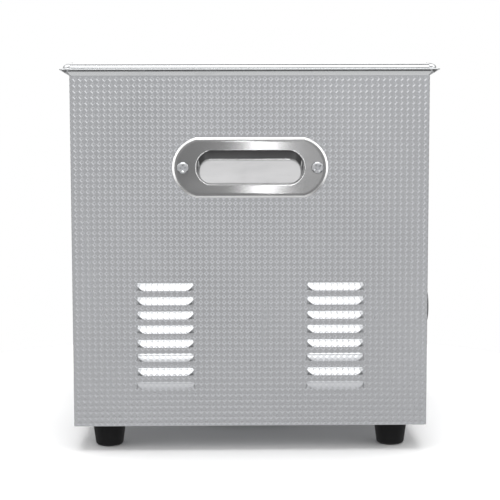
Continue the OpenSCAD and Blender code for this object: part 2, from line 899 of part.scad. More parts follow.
module fan_guard() {
    eye = fan_hole_gap / sqrt(2);
    color("silver") on_rear() translate([-fan_x, fan_z, 0]) {
        for (r = [5, 12, 19, 26]) {
            translate([0, 0, 2.4]) rotate_extrude() translate([r, 0]) circle(0.8);
        }
        for (a = [45:90:315]) {
            rotate(a) difference() {
                union() {
                    translate([4.6, -0.8, 0.9]) cube([eye - 7.4, 1.6, 1.3]);
                    translate([eye, 0, 0.9]) cylinder(d = 8, h = 1.1);
                }
                translate([eye, 0, -1]) cylinder(d = m3_hole, h = 5);
            }
        }
    }
}

// ---- controls ----

module control_plate() {
    color("gainsboro") on_front() difference() {
        translate([control_shift, knob_z, 0]) linear_extrude(plate_thick) rrect(knob_gap + 64, plate_height, 5);
        knob_places() sheet_hole(bush_hole, sheet + plate_thick);
        lamp_places() sheet_hole(lamp_hole, sheet + plate_thick);
    }
}

// rotary unit behind the panel, with the threaded bush that the panel nut pulls on
module rotary_unit(w, deep) {
    difference() {
        union() {
            translate([-w / 2, -w / 2, -sheet - deep]) cube([w, w, deep]);
            translate([0, 0, -sheet - 1]) cylinder(d = bush_d, h = sheet + 1 + plate_thick + 4);
            for (k = [-1, 0, 1]) {
                translate([k * 9 - 2.4, -w / 2 + 4, -sheet - deep - 8]) cube([4.8, 0.8, 9]);
            }
        }
        translate([0, 0, -sheet - deep + 6]) cylinder(d = shaft_d + bore_gap, h = deep + 20);
    }
}

module timer_unit() {
    color("dimgray") on_front() translate([timer_x, knob_z, 0]) rotary_unit(44, unit_deep);
}

module thermostat_unit() {
    color("beige") on_front() translate([heat_x, knob_z, 0]) rotary_unit(38, unit_deep);
}

module rotary_shaft() {
    difference() {
        translate([0, 0, -sheet - 19.5]) cylinder(d = shaft_d, h = sheet + 19.5 + knob_height);
        translate([-4, shaft_flat, plate_thick + 7]) cube([8, 4, knob_height]);
    }
}

module timer_shaft() {
    color("silver") on_front() translate([timer_x, knob_z, 0]) rotary_shaft();
}

module thermostat_shaft() {
    color("silver") on_front() translate([heat_x, knob_z, 0]) rotary_shaft();
}

// knob with a fluted skirt and a pointer rib, shown at the start of its scale
module knob() {
    translate([0, 0, knob_low]) difference() {
        union() {
            cylinder(d = knob_d, h = 4);
            translate([0, 0, 4]) cylinder(d1 = knob_d - 3, d2 = knob_d - 6, h = knob_height - 4);
            translate([-1, knob_d / 2 - 10, 4]) cube([2, 8.6, knob_height - 3.4]);
        }
        translate([0, 0, -1]) cylinder(d = 19.6, h = 5);
        difference() {
            translate([0, 0, -1]) cylinder(d = shaft_d + shaft_gap, h = knob_height - 3);
            translate([-4, shaft_flat + 0.06, 4.2]) cube([8, 4, knob_height]);
        }
        for (a = [0:20:340]) {
            rotate(a + 10) translate([knob_d / 2 + 0.9, 0, -1]) cylinder(d = 4, h = 4);
        }
    }
}

module timer_knob() {
    color("black") on_front() translate([timer_x, knob_z, 0]) knob();
}

module heat_knob() {
    color("black") on_front() translate([heat_x, knob_z, 0]) knob();
}

module indicator_lamps() {
    color("red") on_front() lamp_places() {
        translate([0, 0, plate_thick]) cylinder(d = lamp_d + 2, h = 1.4);
        translate([0, 0, plate_thick + 1.4]) cylinder(d1 = lamp_d + 0.4, d2 = lamp_d - 2, h = 1.6);
        translate([0, 0, -sheet - 14]) cylinder(d = lamp_d, h = sheet + 14 + plate_thick);
    }
}

// nuts on the two bushes and on the backs of the two lamps
module panel_nuts() {
    color("silver") on_front() {
        knob_places() translate([0, 0, plate_thick]) nut([14, 2.6], bush_d);
        lamp_places() translate([0, 0, -sheet - 2.4]) nut([12, 2.4], lamp_d);
    }
}

// ---- mains switch and inlet ----

module switch_housing() {
    color("black") on_rear() translate([-switch_x, switch_z, 0]) difference() {
        union() {
            translate([0, 0, 0]) linear_extrude(2) rrect(15.6, 22, 1.2);
            translate([-6.5, -9.5, -19]) cube([13, 19, 19.5]);
            for (y = [-6, 0, 6]) {
                translate([-2.4, y - 0.4, -26]) cube([4.8, 0.8, 8]);
            }
        }
        translate([-4.9, -8, -7]) cube([9.8, 16, 10]);
        translate([-5.9, 0, -1]) rotate([0, 90, 0]) cylinder(d = rocker_pin_d + 0.2, h = 11.8);
    }
}

// rocker pressed at its lower end at rest, so its upper end stands out
module switch_rocker() {
    color("black") on_rear() translate([-switch_x, switch_z, -1]) rotate([-rocker_tilt, 0, 0]) {
        intersection() {
            translate([-4.6, -7.1, -3.2]) cube([9.2, 14.2, 9]);
            translate([-4.6, 0, -6]) rotate([0, 90, 0]) cylinder(d = 19.6, h = 9.2);
        }
        translate([-5.6, 0, 0]) rotate([0, 90, 0]) cylinder(d = rocker_pin_d, h = 11.2);
    }
}

module power_inlet() {
    color("black") on_rear() translate([-inlet_x, inlet_z, 0]) difference() {
        union() {
            linear_extrude(inlet_face[2]) rrect(inlet_face[0], inlet_face[1], 3);
            translate([-inlet_body[0] / 2, -inlet_body[1] / 2, -inlet_body[2]]) cube(inlet_body + [0, 0, 0.5]);
        }
        translate([-socket_size[0] / 2, socket_low, -socket_size[2]]) cube(socket_size + [0, 0, 5]);
        translate([-drawer_size[0] / 2 - 0.2, drawer_low - 0.2, -drawer_size[2] - 2])
            cube(drawer_size + [0.4, 0.4, 7]);
        for (x = [-1, 1]) {
            translate([20 * x, 0, -1]) cylinder(d = m3_hole, h = 5);
        }
        for (p = mains_pins) {
            translate([p[0], p[1], -socket_size[2] / 2 - inlet_body[2] / 2])
                cube([pin_size[0] + pin_slack, pin_size[1] + pin_slack, inlet_body[2] - socket_size[2] + 2], center = true);
        }
    }
}

module inlet_pins() {
    color("silver") on_rear() translate([-inlet_x, inlet_z, 0]) for (p = mains_pins) {
        translate([p[0] - pin_size[0] / 2, p[1] - pin_size[1] / 2, -pin_size[2] - 2]) cube(pin_size);
    }
}

module fuse_drawer() {
    color("black") on_rear() translate([-inlet_x, inlet_z, 0]) difference() {
        union() {
            translate([-drawer_size[0] / 2, drawer_low, -drawer_size[2]]) cube(drawer_size + [0, 0, 2.5]);
            translate([-12.6, -14.4, 2.8]) cube([25.2, 9.8, 1.6]);
            translate([-drawer_size[0] / 2, drawer_low, 2]) cube([drawer_size[0], drawer_size[1], 1]);
        }
        translate([-10.2, -12.2, -15]) cube([20.4, 7, 5.4]);
        translate([-3, -15, 3.6]) cube([6, 3, 2]);
    }
}

// ---- drain ----

module drain_strainer() {
    color("silver") translate([drain_x, drain_y, 0]) difference() {
        union() {
            translate([0, 0, floor_height]) cylinder(d1 = 30, d2 = 26, h = 1.6);
            translate([0, 0, floor_under - 11]) cylinder(d = strainer_d, h = 12.5);
            translate([0, 0, valve_z + 17]) cylinder(d = tail_d, h = floor_under - 10.5 - valve_z - 17);
        }
        translate([0, 0, valve_z]) cylinder(d = valve_bore, h = floor_under - valve_z - 1);
        translate([0, 0, floor_under - 8]) cylinder(d = 15, h = 8.6);
        for (a = [0:60:300]) {
            rotate(a) translate([4.8, 0, floor_under - 1]) cylinder(d = 3, h = 5);
        }
        translate([0, 0, floor_under - 1]) cylinder(d = 3, h = 5);
    }
}

module drain_nut() {
    color("goldenrod") translate([drain_x, drain_y, floor_under - 7]) difference() {
        hex(27, 7);
        translate([0, 0, -1]) cylinder(d = strainer_d + 0.2, h = 9);
    }
}

// elbow hose from the strainer tail to the valve tail
module hose_shape(d) {
    end_x = body_l / 2 - 17;
    b = hose_bend;
    translate([drain_x, drain_y, valve_z + b]) cylinder(d = d, h = floor_under - 11.5 - valve_z - b);
    translate([drain_x + b, drain_y, valve_z + b]) rotate([90, 0, 0]) rotate([0, 0, 180])
        rotate_extrude(angle = 90) translate([b, 0]) circle(d = d);
    translate([drain_x + b, drain_y, valve_z]) rotate([0, 90, 0]) cylinder(d = d, h = end_x - drain_x - b);
}

module drain_hose() {
    color("white") difference() {
        hose_shape(hose_d);
        hose_shape(hose_bore);
        translate([drain_x, drain_y, floor_under - 13]) cylinder(d = hose_bore, h = 5);
        translate([body_l / 2 - 19, drain_y, valve_z]) rotate([0, 90, 0]) cylinder(d = hose_bore, h = 5);
    }
}

module along_valve(x) {
    translate([x, drain_y, valve_z]) rotate([0, 90, 0]) children();
}

module valve_locknut() {
    color("goldenrod") along_valve(body_l / 2 - sheet - 6) difference() {
        hex(27, 6);
        translate([0, 0, -1]) cylinder(d = bulkhead_d + bore_gap, h = 8);
    }
}

module valve_body() {
    color("goldenrod") difference() {
        union() {
            along_valve(body_l / 2 - 27) cylinder(d = tail_d, h = 16);
            along_valve(body_l / 2 - 13) cylinder(d = bulkhead_d, h = 15);
            along_valve(body_l / 2) rotate(30) hex(27, 6);
            along_valve(body_l / 2 + 5) cylinder(d = 26, h = 29);
            translate([ball_x, drain_y, valve_z + 4]) cylinder(d = 13, h = 13);
        }
        along_valve(body_l / 2 - 28) cylinder(d = valve_bore, h = 45);
        along_valve(ball_x - 9.2) cylinder(d = valve_chamber_d, h = 40);
        translate([ball_x, drain_y, valve_z + 4]) cylinder(d = valve_stem_d + bore_gap, h = 15);
    }
}

module valve_spout() {
    color("goldenrod") difference() {
        union() {
            along_valve(ball_x + 9.4) cylinder(d = valve_chamber_d - 0.1, h = 4);
            along_valve(body_l / 2 + 34) rotate(30) hex(24, 5);
            along_valve(body_l / 2 + 38) cylinder(d = spout_d, h = 20);
        }
        along_valve(ball_x) cylinder(d = valve_bore, h = 60);
    }
}

module valve_ball() {
    color("silver") translate([ball_x, drain_y, valve_z]) difference() {
        sphere(d = 17);
        rotate([90, 0, 0]) cylinder(d = valve_bore, h = 30, center = true);
        translate([-1.2, -5, 6.4]) cube([2.4, 10, 4]);
    }
}

module valve_stem() {
    color("silver") translate([ball_x, drain_y, valve_z]) {
        translate([-1.1, -2.6, 6.6]) cube([2.2, 5.2, 2.4]);
        translate([0, 0, 8.8]) cylinder(d = valve_stem_d, h = 15.4);
    }
}

module valve_lever() {
    t = lever_thick;
    color("crimson") translate([ball_x, drain_y, valve_z + lever_z]) difference() {
        union() {
            cylinder(d = 15, h = t);
            translate([-5, -lever_length + 16, 0]) cube([10, lever_length - 16, t]);
            translate([0, 10 - lever_length, 0]) linear_extrude(t) rrect(14, 20, 5);
            translate([0, 8 - lever_length, 0]) linear_extrude(t + 2) rrect(14, 12, 5);
        }
        translate([0, 0, -1]) cylinder(d = valve_stem_d + shaft_gap, h = t + 2);
    }
}

module lever_nut() {
    color("silver") translate([ball_x, drain_y, valve_z + lever_z + lever_thick]) nut([10, 3.6], valve_stem_d);
}

// ---- wiring inside the housing ----

module internal_wiring() {
    tab = piezo_low + piezo_thick + 0.4;
    heater_term = [board_x - board_l / 2 + 6, board_y - 3, board_top + 11.7];
    mains_term = [board_x + board_l / 2 - 7.5, board_y - 22, board_top + 11.6];
    drive_term = [board_x + 27, board_y - board_w / 2 + 6, board_top + 9.4];
    color("white") {
        for (x = [-1, 1], y = [-1, 1]) {
            a = [x * horn_x + (piezo_d / 2 + 7) * cos(20), y * horn_y + (piezo_d / 2 + 7) * sin(20), tab];
            b = drive_term + [6 * x - 3 * x * y, 0, 0];
            lead([b, b + [0, 0, 12], [0.7 * b[0] + 0.3 * a[0], 0.7 * b[1] + 0.3 * a[1], back_low - 14 + 2 * x],
                  [a[0] + 2, a[1], back_low - 12], a + [3, 0, -12], a + [0.4, 0, -1.1]], 2, [0.83, 0.47, 0.21]);
        }
    }
    color("red") for (s = [-1, 1]) {
        b = heater_term + [0, 4 * s - 4, 0];
        lead([b, b + [0, 0, 10], b + [-3, 6 * s, 16], [-tank_l / 2 + 22, s * tank_w * 0.3, floor_height - 58],
              [-tank_l / 2 + 14, s * (tank_w / 2 - 8), floor_height - 30],
              [-tank_l * 0.35 + 8, s * (tank_w / 2 + 3.4), floor_height - 4],
              [-tank_l * 0.35 + 14, s * (tank_w / 2 + 2.2), floor_height + tank_foot_radius - 1.2]], 2, [0.9, 0.2, 0.15]);
    }
    color("blue") for (k = [-1, 1]) {
        b = mains_term + [0, 3 * k, 0];
        pin = [inlet_x - 7 * k, rear_y - 30.6, inlet_z + mains_pins[0][1]];
        lead([b, b + [0, 0, 9], [inlet_x + 20 - 5 * k, 20, inside_floor + 26], pin + [0, -19.4, -24.2],
              pin + [0, -9.4, -2.2], pin], 2.4, [0.9, 0.1, 0.35]);
    }
    color("black") lead([[fan_x + 26, rear_y - sheet - 15.6, fan_z - 20], [fan_x + 26, rear_y - 24, fan_z - 26],
          [fan_x + 4, rear_y - 40, fan_z - 30], [board_x - 71, board_y + 34, board_top + 15], heater_term + [0, 8, 6],
          heater_term + [0, 8, 0]], 2, [0.2, 0.3, 0.9]);
}

tank();
left_side_panel();
right_side_panel();
front_panel();
rear_panel();
base_plate();
left_handle();
right_handle();
handle_screws();
handle_nuts();
rubber_feet();
foot_screws();
foot_nuts();
base_screws();
transducer_horns();
piezo_rings();
electrode_tabs();
back_masses();
transducer_bolts();
heater_pads();
thermal_cutout();
thermostat_bulb();
capillary_tube();
generator_board();
heat_sink();
power_transistors();
board_transformer();
board_inductors();
board_capacitors();
board_terminals();
board_standoffs();
m3_screws();
fan_frame();
fan_rotor();
fan_guard();
control_plate();
timer_unit();
timer_shaft();
timer_knob();
thermostat_unit();
thermostat_shaft();
heat_knob();
indicator_lamps();
panel_nuts();
switch_housing();
switch_rocker();
power_inlet();
inlet_pins();
fuse_drawer();
drain_strainer();
drain_nut();
drain_hose();
valve_locknut();
valve_body();
valve_spout();
valve_ball();
valve_stem();
valve_lever();
lever_nut();
internal_wiring();
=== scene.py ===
import json
import math

import bmesh
import bpy
from mathutils import Matrix, Vector


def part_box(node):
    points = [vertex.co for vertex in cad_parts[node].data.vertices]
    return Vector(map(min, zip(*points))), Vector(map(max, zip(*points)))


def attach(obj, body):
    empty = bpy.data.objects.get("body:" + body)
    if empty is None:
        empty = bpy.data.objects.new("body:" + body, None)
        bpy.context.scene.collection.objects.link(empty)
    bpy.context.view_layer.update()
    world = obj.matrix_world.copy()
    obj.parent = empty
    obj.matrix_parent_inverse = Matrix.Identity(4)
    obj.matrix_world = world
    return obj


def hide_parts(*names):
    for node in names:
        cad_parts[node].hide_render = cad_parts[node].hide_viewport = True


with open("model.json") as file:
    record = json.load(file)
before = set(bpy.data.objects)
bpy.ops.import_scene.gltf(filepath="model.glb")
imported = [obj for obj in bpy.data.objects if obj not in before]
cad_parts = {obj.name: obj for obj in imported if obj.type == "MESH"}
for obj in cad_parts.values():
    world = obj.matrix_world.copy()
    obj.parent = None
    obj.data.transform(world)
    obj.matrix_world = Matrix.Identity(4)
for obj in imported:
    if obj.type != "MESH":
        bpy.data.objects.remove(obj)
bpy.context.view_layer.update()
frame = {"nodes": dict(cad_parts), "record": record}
mm = 0.001
through = 3 * mm  # how far a cutter reaches to each side of a sheet
finishes = {}


def sine(degrees):
    return math.sin(math.radians(degrees))


def cosine(degrees):
    return math.cos(math.radians(degrees))


class Sock:
    # a node's socket that takes part in plain arithmetic
    def __init__(self, graph, socket):
        self.graph = graph
        self.socket = socket

    def maths(self, operation, other=None, swap=False):
        values = [other, self] if swap else [self, other]
        inputs = {i: v for i, v in enumerate(values) if v is not None}
        return self.graph.node("ShaderNodeMath", {"operation": operation}, inputs)

    def __add__(self, other):
        return self.maths("ADD", other)

    def __radd__(self, other):
        return self.maths("ADD", other, True)

    def __sub__(self, other):
        return self.maths("SUBTRACT", other)

    def __rsub__(self, other):
        return self.maths("SUBTRACT", other, True)

    def __mul__(self, other):
        return self.maths("MULTIPLY", other)

    def __rmul__(self, other):
        return self.maths("MULTIPLY", other, True)

    def __truediv__(self, other):
        return self.maths("DIVIDE", other)

    def __mod__(self, other):
        return self.maths("MODULO", other)

    def __lt__(self, other):
        return self.maths("LESS_THAN", other)

    def __abs__(self):
        return self.maths("ABSOLUTE")

    def step(self, low, high, first=0.0, last=1.0):
        # first below low, last above high, smooth between
        return self.graph.node("ShaderNodeMapRange", {"interpolation_type": "SMOOTHSTEP"}, {
            "Value": self, "From Min": low, "From Max": high, "To Min": first, "To Max": last})


class Graph:
    # a node tree, with one method that adds any node
    def __init__(self, tree):
        self.tree = tree

    def node(self, kind, settings, inputs, output=0):
        made = self.tree.nodes.new(kind)
        for key, value in settings.items():
            setattr(made, key, value)
        for key, value in inputs.items():
            self.feed(made.inputs[key], value)
        return Sock(self, made.outputs[output])

    def feed(self, target, value):
        if isinstance(value, Sock):
            self.tree.links.new(value.socket, target)
        elif target.type == "RGBA":
            target.default_value = (*value, 1)
        else:
            target.default_value = value

    def vector(self, x, y, z):
        return self.node("ShaderNodeCombineXYZ", {}, {0: x, 1: y, 2: z})

    def axes(self, vector):
        apart = self.node("ShaderNodeSeparateXYZ", {}, {0: vector}).socket.node
        return [Sock(self, output) for output in apart.outputs]


class Shade(Graph):
    # one material on object coordinates
    def __init__(self, name):
        self.material = bpy.data.materials.new(name)
        self.material.use_nodes = True
        super().__init__(self.material.node_tree)
        self.shader = self.tree.nodes["Principled BSDF"]
        self.coords = self.node("ShaderNodeTexCoord", {}, {}, "Object")

    def set(self, **inputs):
        for key, value in inputs.items():
            self.feed(self.shader.inputs[key.replace("_", " ")], value)
        return self.material

    def noise(self, scale, detail=4.0, rough=0.55, stretch=(1, 1, 1), distortion=0.0):
        place = self.node("ShaderNodeMapping", {}, {"Vector": self.coords, "Scale": stretch})
        return self.node("ShaderNodeTexNoise", {}, {
            "Vector": place, "Scale": scale, "Detail": detail, "Roughness": rough, "Distortion": distortion})

    def waves(self, scale, direction="X", **values):
        inputs = {key.replace("_", " "): value for key, value in values.items()}
        return self.node("ShaderNodeTexWave", {"bands_direction": direction},
                         {"Vector": self.coords, "Scale": scale, **inputs})

    def spots(self, scale, low, high):
        # 1 on small scattered spots, 0 away from them
        cells = self.node("ShaderNodeTexVoronoi", {}, {"Vector": self.coords, "Scale": scale})
        return 1 - cells.step(low, high)

    def blend(self, factor, first, second):
        return self.node("ShaderNodeMix", {"data_type": "RGBA"}, {0: factor, 6: first, 7: second}, 2)

    def bump(self, height, strength, distance):
        return self.node("ShaderNodeBump", {}, {"Height": height, "Strength": strength, "Distance": distance})


def toned(colour, times, plus=0.0):
    return tuple(min(1, c * times + plus) for c in colour)


def brushedMetal(name, colour, roughness, stretch, fine=900.0):
    # rolled or brushed sheet: fine lines across one axis, soft cloudy wear and a few deeper scratches
    s = Shade(name)
    lines = s.noise(fine, 3, 0.6, stretch)
    broad = s.noise(14, 4, 0.6, (1, 1, 2.2))
    across, along, up = stretch
    scratches = s.noise(260, 2, 0.4, (across * 0.5, along * 0.5, up * 1.6)).step(0.66, 0.74)
    shade = s.blend(0.512 * lines + 0.384 * broad, toned(colour, 0.78), toned(colour, 1.06))
    return s.set(Base_Color=s.blend(scratches * 0.25, shade, colour), Metallic=1.0,
                 Roughness=roughness + 0.06 * (lines - 0.5) + 0.16 * (broad - 0.5) + 0.08 * scratches,
                 Normal=s.bump(lines + 0.6 * scratches, 0.35, 0.000004))


def gripSteel(name, colour):
    # brushed lengthways, with soft patches where the brush pressed harder
    s = Shade(name)
    lines = s.noise(260, 4, 0.6, (1, 1, 45))
    soft = s.noise(34, 2, 0.5, (1, 0.8, 1.6), 0.6)
    fine = s.noise(700, 2, 0.5, (1, 0.2, 30))
    return s.set(Base_Color=s.blend(0.7 * soft + 0.3 * lines, toned(colour, 0.72), toned(colour, 1.3)),
                 Metallic=1.0, Roughness=0.13 + 0.04 * lines + 0.04 * soft, Anisotropic=0.97,
                 Anisotropic_Rotation=0.25, Normal=s.bump(lines + 0.4 * fine, 0.3, 0.000008))


def embossedSteel(name, colour):
    # the pressed cells are real shape; this adds the rolled grain, cloudy wear and handling marks
    s = Shade(name)
    grain = s.noise(1500, 2, 0.5, (1, 1, 0.12))
    cloud = s.noise(9, 4, 0.55)
    smears = s.noise(32, 3, 0.65, (1, 1, 0.45), 0.8).step(0.56, 0.8)
    tone = s.blend(cloud, toned(colour, 0.93), toned(colour, 1.05))
    return s.set(Base_Color=s.blend(smears * 0.14, tone, toned(colour, 0.84)), Metallic=1.0,
                 Roughness=0.235 + 0.06 * (grain - 0.5) + 0.1 * (cloud - 0.5) + 0.07 * smears,
                 Normal=s.bump(grain, 0.18, 0.000004))


def drawnSteel(name, colour):
    # polished tank sheet: faint draw lines down the walls, water marks and small pits
    s = Shade(name)
    lines = s.noise(420, 3, 0.6, (1, 1, 0.06))
    cloud = s.noise(11, 5, 0.6)
    pits = s.spots(230.0, 0.0, 0.07)
    ring = s.noise(26, 2, 0.4, (1, 1, 1), 1.2).step(0.58, 0.66)
    tone = s.blend(cloud, toned(colour, 0.9), colour)
    return s.set(Base_Color=s.blend(pits * 0.35 + ring * 0.06, tone, toned(colour, 0.72)), Metallic=1.0,
                 Roughness=0.12 + 0.07 * lines + 0.11 * cloud * cloud + 0.05 * ring,
                 Normal=s.bump(lines + 0.5 * cloud, 0.2, 0.000006))


def platedMetal(name, colour, roughness=0.16):
    s = Shade(name)
    cloud = s.noise(180, 4, 0.6)
    turned = s.noise(900, 2, 0.5, (1, 1, 0.2))
    specks = s.noise(420, 2, 0.4).step(0.68, 0.75)
    return s.set(Base_Color=s.blend(cloud * 0.5 + specks * 0.4, colour, toned(colour, 0.7)), Metallic=1.0,
                 Roughness=roughness + 0.12 * cloud * cloud + 0.05 * turned,
                 Normal=s.bump(turned + specks, 0.25, 0.000008))


def turnedMetal(name, colour, roughness=0.28):
    # lathe-turned surface with fine concentric lines
    s = Shade(name)
    rings = s.waves(900.0, "Z", Distortion=1.6, Detail=2.0, Detail_Scale=3.0)
    cloud = s.noise(60, 4, 0.6)
    return s.set(Base_Color=s.blend(cloud, toned(colour, 0.82), colour), Metallic=1.0,
                 Roughness=roughness + 0.08 * rings + 0.1 * (cloud - 0.5), Normal=s.bump(rings, 0.2, 0.00001))


def mouldedPlastic(name, colour, roughness=0.45, grain=2600.0, relief=0.00002, bright=0.25):
    # moulded surface: spark-eroded grain, slight shade drift and rubbed high spots
    s = Shade(name)
    fine = s.noise(grain, 2, 0.5)
    cloud = s.noise(24, 4, 0.6)
    rub = s.noise(90, 4, 0.7, (1, 1, 1), 0.5).step(0.55, 0.8)
    return s.set(Base_Color=s.blend(0.25 * cloud + bright * rub, colour, toned(colour, 1.25, 0.05)),
                 Roughness=roughness + 0.1 * (fine - 0.5) + 0.12 * (cloud - 0.5) - 0.1 * rub,
                 Normal=s.bump(fine + 0.3 * cloud, 0.3, relief))


def mattRubber(name, colour, roughness, bloomTone=0.09):
    # rubber: blooming, dust in the low places and a soft grain
    s = Shade(name)
    bloom = s.noise(120, 5, 0.65)
    fine = s.noise(2200, 2, 0.5)
    dust = s.noise(46, 4, 0.7).step(0.52, 0.78)
    return s.set(Base_Color=s.blend(0.35 * bloom * bloom + 0.18 * dust, colour, toned(colour, 1, bloomTone)),
                 Roughness=roughness + 0.12 * (bloom - 0.5) + 0.08 * dust, Specular_IOR_Level=0.25,
                 Normal=s.bump(fine + bloom, 0.35, 0.00003))


def firedCeramic(name, colour):
    s = Shade(name)
    speck = s.noise(1400, 2, 0.5).step(0.6, 0.72)
    cloud = s.noise(70, 4, 0.6)
    return s.set(Base_Color=s.blend(0.3 * cloud + 0.35 * speck, colour, toned(colour, 0.72)),
                 Roughness=0.38 + 0.2 * cloud + 0.1 * speck, Normal=s.bump(cloud + speck, 0.25, 0.00002))


def circuitLaminate(name, colour):
    # green solder mask with straight copper tracks showing through and small plated pads
    s = Shade(name)
    x, y, z = s.axes(s.coords)
    lane = abs((x * 190.0) % 1.0).step(0.34, 0.4)
    cross = abs((y * 190.0) % 1.0).step(0.34, 0.4)
    gate = s.noise(55, 1, 0.3).step(0.48, 0.5)
    tracks = (1 - lane) * gate + (1 - cross) * (1 - gate)
    pads = s.spots(150.0, 0.16, 0.2)
    weave = s.waves(700.0)
    mask = s.blend(tracks * 0.55, colour, toned(colour, 2.1))
    return s.set(Base_Color=s.blend(pads * 0.8, mask, (0.62, 0.6, 0.55)), Metallic=pads * 0.8,
                 Roughness=0.3 + 0.1 * weave + 0.12 * pads, Normal=s.bump(tracks + 0.1 * weave, 0.4, 0.00003))


def woundWire(name, colour):
    # closely wound enamelled wire
    s = Shade(name)
    turns = s.waves(520.0, "DIAGONAL", Distortion=0.6, Detail=1.0)
    cloud = s.noise(160, 3, 0.6)
    return s.set(Base_Color=s.blend(turns, toned(colour, 0.35), colour), Metallic=0.75,
                 Roughness=0.3 + 0.2 * cloud, Normal=s.bump(turns, 0.8, 0.0002))


def tapedCore(name, colour):
    # dark ferrite with bands of amber winding tape
    s = Shade(name)
    band = s.waves(62.0, "Z", Distortion=0.8)
    grain = s.noise(1500, 3, 0.6)
    return s.set(Base_Color=s.blend(band.step(0.45, 0.55), (0.035, 0.033, 0.032), colour),
                 Roughness=0.42 + 0.25 * grain, Normal=s.bump(grain + band, 0.35, 0.00006))


def sleeveFilm(name, colour):
    # shrink sleeve with one pale stripe and a crimped sheen
    s = Shade(name)
    x, y, z = s.axes(s.coords)
    stripe = 1 - abs((x * 53.0) % 1.0).step(0.1, 0.13)
    crease = s.noise(260, 3, 0.6, (1, 1, 0.25))
    return s.set(Base_Color=s.blend(stripe * 0.8, colour, (0.55, 0.58, 0.62)),
                 Roughness=0.22 + 0.2 * crease, Normal=s.bump(crease, 0.4, 0.00005))


def colouredLead(name, colour):
    # stranded lead under a soft jacket: red near the louvred end, blue near the mains, twisted strands
    s = Shade(name)
    x, y, z = s.axes(s.coords)
    red, blue = x.step(-0.09, -0.1), x.step(0.055, 0.06)
    twist = s.waves(420.0, "DIAGONAL")
    cloud = s.noise(140, 3, 0.6)
    base = s.blend(red, colour, (0.55, 0.06, 0.04))
    return s.set(Base_Color=s.blend(blue, base, (0.06, 0.13, 0.4)), Roughness=0.38 + 0.18 * cloud,
                 Normal=s.bump(twist + cloud, 0.3, 0.00005))


def lampLens(name, colour):
    # ribbed translucent cap with a faint glow from behind
    s = Shade(name)
    ribs = s.waves(480.0)
    cloud = s.noise(220, 3, 0.6)
    return s.set(Base_Color=s.blend(cloud * 0.5, colour, toned(colour, 1.6, 0.03)),
                 Roughness=0.14 + 0.1 * cloud, Normal=s.bump(ribs, 0.4, 0.00008), Coat_Weight=0.6,
                 Emission_Color=s.blend(ribs * 0.5, (0.3, 0.015, 0.01), (0.12, 0.004, 0.003)),
                 Emission_Strength=0.5)


def milkySilicone(name, colour):
    s = Shade(name)
    cloud = s.noise(60, 4, 0.6)
    fine = s.noise(900, 2, 0.5)
    return s.set(Base_Color=s.blend(cloud, toned(colour, 0.86), colour), Roughness=0.36 + 0.16 * cloud,
                 Subsurface_Weight=0.15, Normal=s.bump(fine + cloud, 0.2, 0.00004))


def printedInk(name, colour):
    s = Shade(name)
    cloud = s.noise(500, 3, 0.6)
    return s.set(Base_Color=s.blend(cloud, colour, toned(colour, 1, 0.06)), Roughness=0.5 + 0.2 * cloud,
                 Normal=s.bump(cloud, 0.2, 0.00001))


# each finish has its maker, its name and its sizes; its colour is the record's unless ownColours has one
makers = {
    "tank_steel": (drawnSteel, "tankSteel"),
    # painted shade: a darker copy of the tank steel for the band along the top of the rim's shoulder
    "shoulder_painted_shade": (drawnSteel, "shoulderSteel"),
    "embossed_steel": (embossedSteel, "embossedSteel"),
    "plain_steel": (brushedMetal, "baseSteel", 0.36, (2, 60, 2)),
    "handle_steel": (gripSteel, "gripSteel"),
    # painted shade: a darker copy of the grip steel for the band inside the top of the handle pocket
    "pocket_shade": (gripSteel, "pocketSteel"),
    # painted highlight: a far paler copy of the handle steel for the bevel ring round the flange
    "polished_edge": (platedMetal, "polishedEdge", 0.36),
    "bright_fixings": (platedMetal, "platedFixings"),
    "foot_rubber": (mattRubber, "footRubber", 0.62, 0.012),
    "horn_aluminium": (turnedMetal, "hornAluminium"),
    "piezo_ceramic": (firedCeramic, "piezoCeramic"),
    "copper_tabs": (platedMetal, "copperTabs", 0.25),
    "dark_steel": (turnedMetal, "backMassSteel", 0.36),
    "heater_silicone": (mattRubber, "heaterSilicone", 0.6),
    "cutout_body": (mouldedPlastic, "cutoutBody"),
    "sensing_copper": (platedMetal, "sensingCopper", 0.3),
    "board_laminate": (circuitLaminate, "boardLaminate"),
    "sink_aluminium": (brushedMetal, "sinkAluminium", 0.34, (2, 2, 40)),
    "black_moulding": (mouldedPlastic, "blackMoulding"),
    "pale_moulding": (mouldedPlastic, "paleMoulding", 0.5),
    "ferrite_and_tape": (tapedCore, "ferriteAndTape"),
    "winding_copper": (woundWire, "windingCopper"),
    "capacitor_sleeve": (sleeveFilm, "capacitorSleeve"),
    "terminal_plastic": (mouldedPlastic, "terminalPlastic"),
    "standoff_brass": (turnedMetal, "standoffBrass"),
    "fan_plastic": (mouldedPlastic, "fanPlastic", 0.5),
    "plate_aluminium": (brushedMetal, "plateAluminium", 0.3, (1.5, 30, 60), 800.0),
    "dial_ink": (printedInk, "printedInk"),
    "shaft_steel": (turnedMetal, "shaftSteel", 0.24),
    "knob_plastic": (mouldedPlastic, "knobPlastic", 0.42),
    "lamp_lens": (lampLens, "lampLens"),
    "rocker_plastic": (mouldedPlastic, "rockerPlastic", 0.28, 3000.0, 0.00001, 0.1),
    "pin_nickel": (platedMetal, "pinNickel", 0.22),
    "drain_steel": (turnedMetal, "drainSteel", 0.22),
    "valve_brass": (turnedMetal, "valveBrass", 0.26),
    "hose_silicone": (milkySilicone, "hoseSilicone"),
    "valve_plated": (platedMetal, "valvePlated", 0.2),
    "ball_chrome": (platedMetal, "ballChrome", 0.1),
    "lever_coated": (mouldedPlastic, "leverCoating", 0.34, 1200.0, 0.00003, 0.15),
    "wire_insulation": (colouredLead, "wireInsulation"),
}
